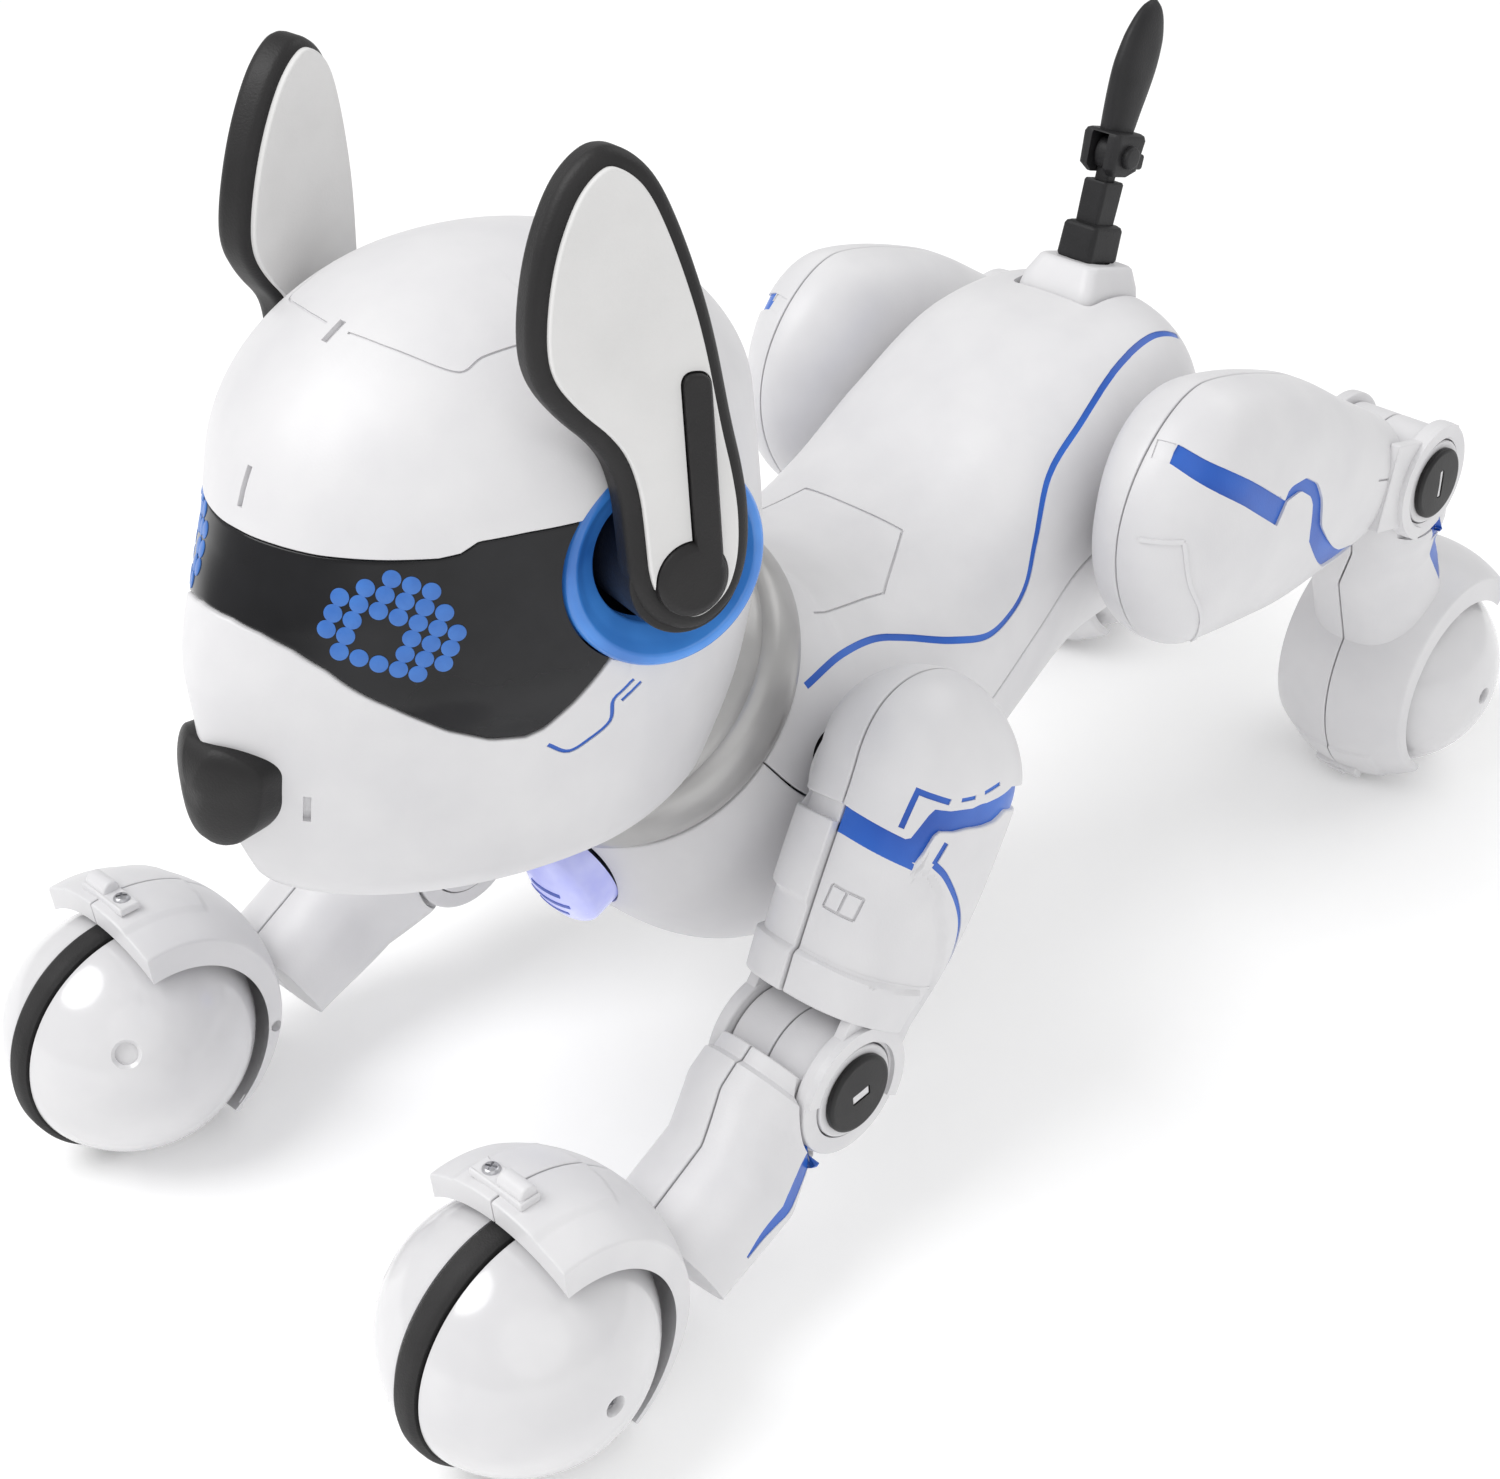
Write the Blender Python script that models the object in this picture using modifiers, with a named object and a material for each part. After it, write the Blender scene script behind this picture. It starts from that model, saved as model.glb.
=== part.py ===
"""Robot dog toy: hollow moulded shells on jointed legs, with a wheel in each foot.

Metres, +Z up. The dog faces -Y and its left side is +X. The origin is on the floor under
the middle of the whole toy. Sizes in the tables are millimetres, with Y counted from the
front wheel axis, and are turned into metres where a mesh is made.
"""

import math

import bmesh
import bpy
from mathutils import Matrix, Vector

MM = 0.001
FRONT_AXIS_Y = -134.0

# Shells
WALL = 1.8
GAP = 0.35
HALF_GAP = 0.32

# Feet
BALL_R = 22.5
TYRE_R = 23.5
TYRE_WIDTH = 4.6
TYRE_SEGMENTS = 20
HOOD_INNER_R = 24.9
HOOD_OUTER_R = 27.8
HOOD_RISE = 1.8
HOOD_HALF_WIDTH = 15.5
FRONT_HOOD_TURNS = (84, 240)
REAR_HOOD_TURNS = (-57, 133)
AXLE_R = 2.0
AXLE_TIP = 14.0

# Leg joints: pivot (x, y, z)
SHOULDER = (50.0, 95.0, 76.0)
ELBOW = (50.0, 68.5, 34.5)
FRONT_WHEEL = (53.4, 0.0, TYRE_R)
HIP = (44.5, 182.0, 94.0)
KNEE = (46.0, 244.0, 82.0)
REAR_WHEEL = (42.5, 268.0, TYRE_R)
SHAFT_R = 4.0
KNUCKLE_R = 9.0
JOINT_HALF_WIDTH = 11.5
CHEEK_THICKNESS = 2.6
CAP_R = 7.3

# Head and neck
NECK_CENTRE = (0.0, 78.0, 87.0)
NECK_TILT = math.radians(43.0)
NECK_AXIS = (0.0, -math.sin(NECK_TILT), math.cos(NECK_TILT))
COLLAR_R = 31.0
COLLAR_LOW = -6.0
COLLAR_HIGH = 5.0
HEAD_MID_Y = 48.0
HEAD_DOMES = (14, 28)
VISOR_TURNS = (14, 166)
NOSE_CENTRE = (0.0, -2.5, 104.0)
NOSE_RADII = (10.6, 7.2, 10.2)

# Ears
EAR_CENTRE = (47.0, 47.4, 136.4)
EAR_NORMAL = (0.946, -0.294, 0.132)
EAR_THICKNESS = 6.0
EAR_RING_R = 18.5
EAR_HUB_R = 9.0
EAR_DISC_R = 5.6
PANEL_THICKNESS = 1.2

# Body fittings
LENS_CENTRE = (0.0, 60.5, 51.5)
LENS_AXIS = (0.0, -0.93, -0.37)
LENS_R = 8.5
TORSO_DOMES = (0, 28)
TORSO_MIDDLE = (0, 125, 70)
SWITCH_LOW = (-4.0, 106.0, 24.6)
SWITCH_HIGH = (4.0, 110.0, 32.0)
SWITCH_TRAVEL = 2.4

# What the torso holds: low and high corners, or a place
BATTERY_PACK = ((-11, 118, 47), (11, 150, 59))
MAIN_BOARD = ((-20, 116, 76), (20, 160, 77.6))
SPEAKER_CENTRE = (0, 82, 50)
DOOR_AT = (44, 78)
DOOR_TURNS = (-118, -62)
DRIVE_HALF_WIDTH = 20

# Tail
TAIL_BASE = (0.0, 199.5, 121.0)
TAIL_LEAN = math.radians(16.0)
TAIL_HINGE_UP = 26.0
SOCKET_R = 13.5
STEM_R = 4.4

# at, y, z, tilt, half width, plus, minus, power plus, power minus
TORSO = (
    (0, 82.7, 80.8, -47, 29, 29, 29, 2.0, 2.0),
    (8, 88.5, 74.5, -36, 32, 31, 37, 2.1, 2.1),
    (22, 99.0, 66.0, -18, 34, 33, 40, 2.3, 2.1),
    (40, 115.0, 62.0, 0, 34, 35, 36, 2.5, 2.1),
    (60, 134.0, 68.0, 14, 32, 28.5, 32, 2.7, 2.2),
    (80, 152.0, 77.0, 22, 30, 26, 33, 2.9, 2.2),
    (98, 168.0, 86.0, 20, 28.5, 27.5, 36, 3.0, 2.3),
    (116, 186.0, 91.0, 8, 29, 31, 38, 3.0, 2.3),
    (134, 203.0, 93.0, -6, 29, 29, 34, 2.6, 2.2),
    (152, 221.0, 93.0, -6, 29, 26, 28, 2.3, 2.2),
)
HEAD = (
    (72, HEAD_MID_Y, 72, 90, 27, 43, 28, 1.8, 2.0),
    (85, HEAD_MID_Y, 85, 90, 31, 49, 38, 1.6, 2.0),
    (98, HEAD_MID_Y, 98, 90, 34, 53.5, 45, 1.4, 2.0),
    (112, HEAD_MID_Y, 112, 90, 36.5, 56, 48, 1.4, 2.0),
    (121, HEAD_MID_Y, 121, 90, 38, 56, 49, 1.5, 2.0),
    (132, HEAD_MID_Y, 132, 90, 38.5, 52, 48, 1.6, 2.0),
    (140, HEAD_MID_Y, 140, 90, 38.5, 47.5, 47, 1.7, 2.0),
    (148, HEAD_MID_Y, 148, 90, 38.5, 44, 46, 1.8, 2.0),
    (174.5, HEAD_MID_Y, 174.5, 90, 34, 38, 44, 1.9, 2.0),
)
FRONT_THIGH = (
    (0, 103.0, 97.0, 240, 12.5, 19, 20, 2.6, 2.6),
    (18, 97.0, 80.0, 238, 13.5, 20, 19, 2.6, 2.6),
    (32, 90.0, 67.0, 236, 13.5, 20, 18.5, 2.6, 2.6),
    (46, 82.5, 55.0, 235, 13.2, 18.5, 17, 2.6, 2.6),
    (60, 75.0, 44.0, 234, 12.6, 15, 14.5, 2.5, 2.5),
)
FRONT_SHIN = (
    (0, 62.5, 35.5, 214, 11.5, 13.0, 13.0, 2.4, 2.4),
    (16, 49.0, 26.5, 214, 12.0, 12.0, 12.0, 2.4, 2.4),
    (36, 32.0, 16.5, 206, 12.5, 6.5, 12.0, 2.4, 2.4),
)
REAR_THIGH = (
    (0, 156.0, 100.0, -8, 12.5, 22, 22, 2.4, 2.4),
    (22, 177.0, 97.0, -9, 14.0, 25, 26, 2.4, 2.4),
    (44, 199.0, 93.0, -12, 13.5, 22.5, 25, 2.4, 2.4),
    (66, 220.0, 88.0, -14, 12.5, 16, 19, 2.4, 2.4),
    (80, 233.0, 85.0, -14, 11.5, 12, 13, 2.4, 2.4),
)
REAR_SHIN = (
    (0, 246.0, 76.0, -76, 10.5, 12.0, 12.0, 2.4, 2.4),
    (14, 250.0, 63.0, -70, 11.5, 12.0, 13.0, 2.4, 2.4),
    (36, 258.0, 42.0, -68, 12.5, 12.0, 14.0, 2.4, 2.4),
)

# Height above the ear centre, front edge, rear edge
EAR_OUTLINE = (
    (-9.5, 0.5, 0.5),
    (-6, -6.2, 7.2),
    (0, -9.0, 10.2),
    (8, -9.0, 11.0),
    (15, -9.2, 10.4),
    (21, -11.0, 9.4),
    (27, -16.8, 8.7),
    (33, -20.6, 8.0),
    (40, -20.8, 6.8),
    (50, -18.4, 4.2),
    (58, -14.4, 1.2),
    (62, -10.6, -2.4),
    (63.8, -6.5, -6.5),
)


def clear_scene():
    for obj in list(bpy.data.objects):
        bpy.data.objects.remove(obj, do_unlink=True)


def to_world(x, y, z):
    return Vector((x, y + FRONT_AXIS_Y, z)) * MM


def hermite(columns, at):
    """Smooth monotone interpolation through table rows, with the first column as the place."""
    places = [row[0] for row in columns]
    at = min(max(at, places[0]), places[-1])
    i = max(k for k in range(len(places) - 1) if places[k] <= at)
    width = places[i + 1] - places[i]
    u = (at - places[i]) / width
    values = []
    for c in range(1, len(columns[0])):
        slopes = [
            (columns[k + 1][c] - columns[k][c]) / (places[k + 1] - places[k])
            for k in range(len(places) - 1)
        ]

        def tangent(k):
            if k in (0, len(slopes)):
                return slopes[min(k, len(slopes) - 1)]
            before, after = slopes[k - 1], slopes[k]
            return 0.0 if before * after <= 0 else 2 * before * after / (before + after)

        values.append(
            (2 * u**3 - 3 * u**2 + 1) * columns[i][c]
            + (u**3 - 2 * u**2 + u) * width * tangent(i)
            + (3 * u**2 - 2 * u**3) * columns[i + 1][c]
            + (u**3 - u**2) * width * tangent(i + 1)
        )
    return values


def dome_factor(table, at, domes):
    """How far a section has shrunk towards a rounded end."""
    first, last = table[0][0], table[-1][0]
    low, high = domes
    u = 0.0
    if low and at < first + low:
        u = (first + low - at) / low
    if high and at > last - high:
        u = (at - last + high) / high
    return math.sqrt(max(0.0, 1 - min(u, 1.0) ** 2))


def signed_power(value, power):
    return math.copysign(abs(value) ** power, value)


def skin_point(table, at, turn, grow=0.0, domes=(0, 0), x_mid=0.0):
    """A point on a skin: at along its spine, turn in degrees from +X towards the plus side."""
    y, z, tilt, half_width, plus, minus, power_plus, power_minus = hermite(table, at)
    factor = dome_factor(table, at, domes)
    tilt = math.radians(tilt)
    cosine = math.cos(math.radians(turn))
    sine = math.sin(math.radians(turn))
    power = power_plus if sine >= 0 else power_minus
    reach = plus if sine >= 0 else minus
    across = signed_power(cosine, 2 / power) * (half_width * factor + grow)
    up = signed_power(sine, 2 / power) * (reach * factor + grow)
    return Vector((x_mid + across, y - math.sin(tilt) * up, z + math.cos(tilt) * up))


def material(name, color, roughness, metallic=0.0, transmission=0.0):
    made = bpy.data.materials.new(name)
    made.use_nodes = True
    shader = made.node_tree.nodes["Principled BSDF"]
    shader.inputs["Base Color"].default_value = (*color, 1)
    shader.inputs["Roughness"].default_value = roughness
    shader.inputs["Metallic"].default_value = metallic
    shader.inputs["Transmission Weight"].default_value = transmission
    return made


def collection(name):
    made = bpy.data.collections.new(name)
    bpy.context.scene.collection.children.link(made)
    return made


clear_scene()
DOG = collection("robot_dog")
CUTTERS = collection("cutters")
WHITE = (0.82, 0.82, 0.81)
BLACK = (0.02, 0.02, 0.022)


def add_object(name, mesh, color, roughness, metallic=0.0, transmission=0.0, pivot=(0, 0, 0)):
    """Puts a mesh made in world metres in the scene, with its origin on the pivot."""
    origin = to_world(*pivot) if pivot != (0, 0, 0) else Vector((0, 0, 0))
    mesh.transform(Matrix.Translation(-origin))
    obj = bpy.data.objects.new(name, mesh)
    obj.location = origin
    DOG.objects.link(obj)
    mesh.shade_smooth()
    mesh.set_sharp_from_angle(angle=math.radians(35))
    mesh.materials.append(material(name, color, roughness, metallic, transmission))
    return obj


def mesh_from(bm, name, side=1):
    """The mesh of a bmesh in table millimetres, mirrored for the right side."""
    for vert in bm.verts:
        place = to_world(*vert.co)
        vert.co = (place.x * side, place.y, place.z)
    bmesh.ops.remove_doubles(bm, verts=bm.verts, dist=1e-6)
    bmesh.ops.dissolve_degenerate(bm, edges=bm.edges, dist=1e-6)
    bmesh.ops.recalc_face_normals(bm, faces=bm.faces)
    mesh = bpy.data.meshes.new(name)
    bm.to_mesh(mesh)
    bm.free()
    return mesh


def grid_faces(bm, grid, closed=False):
    """Quads over a grid of vertices, closed round in its second direction."""
    for row, above in zip(grid, grid[1:]):
        count = len(row)
        for j in range(count if closed else count - 1):
            k = (j + 1) % count
            bm.faces.new((row[j], row[k], above[k], above[j]))


def spaced(first, last, count, ease_low=False, ease_high=False):
    """count + 1 places from first to last, closer together towards a rounded end."""
    places = []
    for i in range(count + 1):
        u = i / count
        if ease_low and ease_high:
            u = (1 - math.cos(math.pi * u)) / 2
        elif ease_low:
            u = 1 - math.cos(math.pi * u / 2)
        elif ease_high:
            u = math.sin(math.pi * u / 2)
        places.append(first + (last - first) * u)
    return places


def skin_patch(table, low, high, turns, counts, domes=(0, 0), x_mid=0.0, grow=0.0):
    """An open surface over part of a skin: low and high may depend on the turn."""
    rows, cols = counts
    bm = bmesh.new()
    grid = [[] for _ in range(rows + 1)]
    half = abs(turns[1] - turns[0]) < 359
    around = spaced(turns[0], turns[1], cols, half, half)
    for j in range(cols + 1):
        turn = around[j]
        first = low(turn) if callable(low) else low
        last = high(turn) if callable(high) else high
        ease = (domes[0] and first == table[0][0], domes[1] and last == table[-1][0])
        for i, at in enumerate(spaced(first, last, rows, *ease)):
            point = skin_point(table, at, turn, grow, domes, x_mid)
            grid[i].append(bm.verts.new(point))
    grid_faces(bm, grid)
    return bm


def outward(mesh, centre, side=1):
    """Turns an open patch so that its faces look away from a point in table millimetres."""
    middle = to_world(*centre)
    middle.x *= side
    votes = sum((p.center - middle).dot(p.normal) * p.area for p in mesh.polygons)
    if votes < 0:
        mesh.flip_normals()


def solidify(obj, thickness, offset=-1.0):
    wall = obj.modifiers.new("wall", "SOLIDIFY")
    wall.thickness = thickness * MM
    wall.offset = offset
    wall.use_quality_normals = True


def boolean(obj, other, operation):
    cut = obj.modifiers.new(operation.lower(), "BOOLEAN")
    cut.operation = operation
    cut.object = other


def helper(name, mesh):
    """A cutter, or a shape that a Boolean joins to another."""
    obj = bpy.data.objects.new(name, mesh)
    obj.hide_render = True
    obj.display_type = "WIRE"
    CUTTERS.objects.link(obj)
    return obj


def box_bm(low, high):
    bm = bmesh.new()
    bmesh.ops.create_cube(bm, size=1)
    for vert in bm.verts:
        vert.co = Vector(
            low[i] if vert.co[i] < 0 else high[i] for i in range(3)
        )
    return bm


def rod_bm(x_low, x_high, y, z, radius, segments=24):
    """A cylinder along X."""
    bm = bmesh.new()
    turn = Matrix.Rotation(math.pi / 2, 4, "Y")
    place = Matrix.Translation(((x_low + x_high) / 2, y, z)) @ turn
    bmesh.ops.create_cone(
        bm, cap_ends=True, segments=segments, radius1=radius, radius2=radius,
        depth=x_high - x_low, matrix=place,
    )
    return bm


def axis_frame(origin, axis, up=(0, 0, 1)):
    """A matrix whose Z is the axis and whose Y leans towards up."""
    z = Vector(axis).normalized()
    x = Vector(up).cross(z).normalized()
    y = z.cross(x)
    frame = Matrix((x, y, z)).transposed().to_4x4()
    frame.translation = Vector(origin)
    return frame


def turned_bm(profile, frame, segments=24):
    """A closed solid turned about a frame's Z from (radius, height) points, bottom to top."""
    bm = bmesh.new()
    verts = [bm.verts.new((radius, 0, height)) for radius, height in profile]
    edges = [bm.edges.new(pair) for pair in zip(verts, verts[1:])]
    bmesh.ops.spin(
        bm, geom=verts + edges, cent=(0, 0, 0), axis=(0, 0, 1), angle=2 * math.pi,
        steps=segments, use_merge=True,
    )
    bmesh.ops.transform(bm, matrix=frame, verts=bm.verts)
    return bm


def ring_bm(profile, frame, segments=24):
    """A ring turned about a frame's Z from a closed loop of (radius, height) points."""
    return turned_bm(tuple(profile) + (profile[0],), frame, segments)


def hood_bm(wheel, sign, turns, counts):
    """Half of the hood: a band between the ball's clearance and a sphere that is higher above."""
    across, around = counts
    bm = bmesh.new()
    loops = []
    places = [GAP / 2 + (HOOD_HALF_WIDTH - GAP / 2) * k / across for k in range(across + 1)]
    for i in range(around + 1):
        turn = math.radians(turns[0] + (turns[1] - turns[0]) * i / around)
        outer_r = HOOD_OUTER_R + HOOD_RISE * math.sin(turn)
        section = [(x, math.sqrt(outer_r**2 - x**2)) for x in places]
        section += [(x, math.sqrt(HOOD_INNER_R**2 - x**2)) for x in reversed(places)]
        loop = []
        for x, reach in section:
            local = Vector((sign * x, -reach * math.cos(turn), reach * math.sin(turn)))
            loop.append(bm.verts.new(Vector(wheel) + local))
        loops.append(loop)
    grid_faces(bm, loops, closed=True)
    bm.faces.new(loops[0])
    bm.faces.new(list(reversed(loops[-1])))
    return bm


def shell_object(name, bm, centre, finish, side=1, wall=WALL, pivot=(0, 0, 0)):
    mesh = mesh_from(bm, name, side)
    outward(mesh, centre, side)
    place = (pivot[0] * side, pivot[1], pivot[2])
    obj = add_object(name, mesh, *finish, pivot=place)
    solidify(obj, wall)
    return obj


def solid_object(name, bm, finish, side=1, pivot=(0, 0, 0)):
    place = (pivot[0] * side, pivot[1], pivot[2])
    return add_object(name, mesh_from(bm, name, side), *finish, pivot=place)


WHITE_GLOSS = (WHITE, 0.35)
BALL_GLOSS = (WHITE, 0.15)
BLACK_PLASTIC = (BLACK, 0.45)
BLACK_RUBBER = (BLACK, 0.7)
SILVER = ((0.62, 0.62, 0.63), 0.35, 0.7)
BLUE_CLEAR = ((0.05, 0.22, 0.7), 0.2, 0.0, 0.4)
SMOKE = ((0.012, 0.012, 0.014), 0.08)
LENS = ((0.62, 0.66, 0.95), 0.25, 0.0, 0.2)
BOARD_GREEN = ((0.03, 0.22, 0.09), 0.5)
STEEL = ((0.6, 0.6, 0.62), 0.3, 1.0)


def half_limb(table, half, counts, x_mid, sign):
    """A closed solid under half of a skin, flat on the plane between the two halves."""
    rows, cols = counts
    start = -90 if half == "outer" else 90
    bm = bmesh.new()
    grid = []
    for i in range(rows + 1):
        at = table[0][0] + (table[-1][0] - table[0][0]) * i / rows
        middle = x_mid(at) if callable(x_mid) else x_mid
        row = []
        for j in range(cols + 1):
            point = skin_point(table, at, start + 180 * j / cols, x_mid=middle)
            point.x += sign * GAP / 2
            row.append(bm.verts.new(point))
        grid.append(row)
    grid_faces(bm, grid, closed=True)
    bm.faces.new(grid[0])
    bm.faces.new(list(reversed(grid[-1])))
    return bm


def thigh(end, flank, side, table, pivot, lower, dome):
    """Two hollow halves, each with a cheek plate beside the lower joint."""
    tag = f"{end}_{flank}"
    middle = hermite(table, table[-1][0] / 2)
    centre = (pivot[0], middle[0], middle[1])
    for half, sign, turns in (("outer", 1, (-90, 90)), ("inner", -1, (90, 270))):
        bm = skin_patch(table, 0, table[-1][0], turns, (6, 6), (dome, 0), pivot[0])
        for vert in bm.verts:
            vert.co.x += sign * HALF_GAP
        obj = shell_object(f"thigh_{half}_{tag}", bm, centre, WHITE_GLOSS, side, pivot=pivot)
        edges = (JOINT_HALF_WIDTH - CHEEK_THICKNESS, JOINT_HALF_WIDTH)
        low, high = sorted(lower[0] + sign * edge for edge in edges)
        cheek = rod_bm(low, high, lower[1], lower[2], KNUCKLE_R + 3.2, 16)
        boolean(obj, helper(f"cheek_{half}_{tag}", mesh_from(cheek, "cheek", side)), "UNION")
        strap = box_bm((low - lower[0] + 0.2, -KNUCKLE_R, 0), (high - lower[0] - 0.2, KNUCKLE_R, 17))
        lean = hermite(table, table[-1][0])[2] + 90
        turn = Matrix.Translation(Vector(lower)) @ Matrix.Rotation(math.radians(lean), 4, "X")
        bmesh.ops.transform(strap, matrix=turn, verts=strap.verts)
        boolean(obj, helper(f"strap_{half}_{tag}", mesh_from(strap, "strap", side)), "UNION")
        hole = rod_bm(lower[0] - 20, lower[0] + 20, lower[1], lower[2], KNUCKLE_R, 16)
        boolean(obj, helper(f"joint_hole_{half}_{tag}", mesh_from(hole, "hole", side)), "DIFFERENCE")
        if half == "inner":
            hub = rod_bm(pivot[0] - 15.2, pivot[0] - 8, pivot[1], pivot[2], 9.5, 10)
            boolean(obj, helper(f"hub_{tag}", mesh_from(hub, "hub", side)), "UNION")
            bore = rod_bm(pivot[0] - 16, pivot[0] + 7, pivot[1], pivot[2], SHAFT_R + 0.5, 10)
            boolean(obj, helper(f"hub_bore_{tag}", mesh_from(bore, "bore", side)), "DIFFERENCE")


def shin(end, flank, side, table, pivot, wheel, hood_turns):
    """Two halves, each with a tongue in the upper joint and half of the hood over the ball."""
    tag = f"{end}_{flank}"
    length = table[-1][0]

    def middle(at):
        share = min(max((at - 8.5) / 9.5, 0.0), 1.0)
        return pivot[0] + (wheel[0] - pivot[0]) * share

    for half, sign in (("outer", 1), ("inner", -1)):
        hood = hood_bm(wheel, sign, hood_turns, (2, 11))
        obj = solid_object(f"shin_{half}_{tag}", hood, WHITE_GLOSS, side, pivot)
        limb = half_limb(table, half, (4, 6), middle, sign)
        boolean(obj, helper(f"limb_{half}_{tag}", mesh_from(limb, "limb", side)), "UNION")
        low, high = sorted(pivot[0] + sign * edge for edge in (GAP / 2, JOINT_HALF_WIDTH - 3.0))
        tongue = rod_bm(low, high, pivot[1], pivot[2], KNUCKLE_R + 1.5, 16)
        boolean(obj, helper(f"tongue_{half}_{tag}", mesh_from(tongue, "tongue", side)), "UNION")
        low, high = sorted(pivot[0] + sign * edge for edge in (JOINT_HALF_WIDTH - 2.95, 20))
        clear = rod_bm(low, high, pivot[1], pivot[2], KNUCKLE_R + 3.6, 16)
        boolean(obj, helper(f"clear_{half}_{tag}", mesh_from(clear, "clear", side)), "DIFFERENCE")
        low, high = sorted(pivot[0] + sign * edge for edge in (3, JOINT_HALF_WIDTH - 0.2))
        stub = rod_bm(low, high, pivot[1], pivot[2], KNUCKLE_R - 0.4, 16)
        boolean(obj, helper(f"stub_{half}_{tag}", mesh_from(stub, "stub", side)), "UNION")
        space = bmesh.new()
        bmesh.ops.create_uvsphere(space, u_segments=24, v_segments=14, radius=TYRE_R + 0.7)
        bmesh.ops.rotate(space, verts=space.verts, matrix=Matrix.Rotation(math.pi / 2, 3, "Y"))
        bmesh.ops.translate(space, verts=space.verts, vec=wheel)
        boolean(obj, helper(f"ball_space_{half}_{tag}", mesh_from(space, "space", side)), "DIFFERENCE")
    cap = rod_bm(
        pivot[0] + JOINT_HALF_WIDTH + 0.1, pivot[0] + JOINT_HALF_WIDTH + 1.3, pivot[1], pivot[2], CAP_R, 16
    )
    solid_object(f"joint_cap_{tag}", cap, BLACK_PLASTIC, side, pivot)


def arc(radius, low, high, steps, centre=0.0):
    """(radius, height) points on a circle about a point on the axis, angles from the equator."""
    points = []
    for k in range(steps + 1):
        angle = math.radians(low + (high - low) * k / steps)
        points.append((radius * math.cos(angle), centre + radius * math.sin(angle)))
    return points


def foot(end, flank, side, wheel, pivot):
    """Two fixed hemispheres that carry the axle of the narrow tyred wheel between them."""
    tag = f"{end}_{flank}"
    split = TYRE_WIDTH / 2 + 0.5
    boss_r = AXLE_R + 2.5
    bore_r = AXLE_R + 0.3
    outer = arc(BALL_R, math.degrees(math.asin(split / BALL_R)), 90, 3)
    deep_r = BALL_R - WALL
    inner = arc(deep_r, math.degrees(math.asin(split / deep_r)), 70, 2)
    profile = [(0, AXLE_TIP + 0.4), (bore_r, AXLE_TIP + 0.4), (bore_r, split), (boss_r, split)]
    profile += [(boss_r, inner[-1][1])] + inner[::-1][1:] + outer[:-1] + [(0, BALL_R)]
    for half, sign in (("outer", 1), ("inner", -1)):
        bm = turned_bm(profile, axis_frame(wheel, (sign, 0, 0)), 14)
        solid_object(f"ball_{half}_{tag}", bm, BALL_GLOSS, side, pivot)
    half_tyre = TYRE_WIDTH / 2
    half_turn = math.pi / TYRE_SEGMENTS
    tread_r = TYRE_R / math.cos(half_turn)
    profile = (
        (0, -AXLE_TIP), (AXLE_R, -AXLE_TIP), (AXLE_R, -half_tyre), (tread_r - 0.6, -half_tyre),
        (tread_r, -half_tyre + 0.9), (tread_r, half_tyre - 0.9), (tread_r - 0.6, half_tyre),
        (AXLE_R, half_tyre), (AXLE_R, AXLE_TIP), (0, AXLE_TIP),
    )
    # Half a segment round, so that a flat of the tread lies on the floor.
    frame = axis_frame(wheel, (1, 0, 0)) @ Matrix.Rotation(half_turn, 4, "Z")
    disc = turned_bm(profile, frame, TYRE_SEGMENTS)
    solid_object(f"wheel_{tag}", disc, BLACK_RUBBER, side, wheel)


def legs():
    for flank, side in (("left", 1), ("right", -1)):
        thigh("front", flank, side, FRONT_THIGH, SHOULDER, ELBOW, 18)
        shin("front", flank, side, FRONT_SHIN, ELBOW, FRONT_WHEEL, FRONT_HOOD_TURNS)
        foot("front", flank, side, FRONT_WHEEL, ELBOW)
        thigh("rear", flank, side, REAR_THIGH, HIP, KNEE, 20)
        shin("rear", flank, side, REAR_SHIN, KNEE, REAR_WHEEL, REAR_HOOD_TURNS)
        foot("rear", flank, side, REAR_WHEEL, KNEE)


def torso():
    """The back and belly shells, with what closes them and what they hold."""
    seam = 4
    shells = (
        ("back_shell", (1 - seam, 179 + seam), (14, 12)),
        ("belly_shell", (-seam - 1, seam - 179), (14, 10)),
    )
    made = {}
    for name, turns, counts in shells:
        bm = skin_patch(TORSO, 0, TORSO[-1][0], turns, counts, TORSO_DOMES)
        rise = GAP / 2 if name == "back_shell" else -GAP / 2
        bmesh.ops.translate(bm, verts=bm.verts, vec=(0, 0, rise))
        made[name] = shell_object(name, bm, TORSO_MIDDLE, WHITE_GLOSS)
        for pivot in (SHOULDER, HIP):
            hole = rod_bm(-60, 60, pivot[1], pivot[2], SHAFT_R + 1.2, 12)
            cutter = helper(f"shaft_hole_{name}", mesh_from(hole, "hole"))
            boolean(made[name], cutter, "DIFFERENCE")
    return made


def chest_lens(belly):
    frame = axis_frame(LENS_CENTRE, LENS_AXIS)
    profile = ((0, -4), (LENS_R, -4), (LENS_R, 1.5), (LENS_R - 2.2, 3.4), (LENS_R - 5.5, 4.6), (0, 5))
    solid_object("chest_lens", turned_bm(profile, frame, 16), LENS)
    hole = turned_bm(((0, -12), (LENS_R + GAP, -12), (LENS_R + GAP, 12), (0, 12)), frame, 16)
    boolean(belly, helper("lens_hole", mesh_from(hole, "hole")), "DIFFERENCE")


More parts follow.
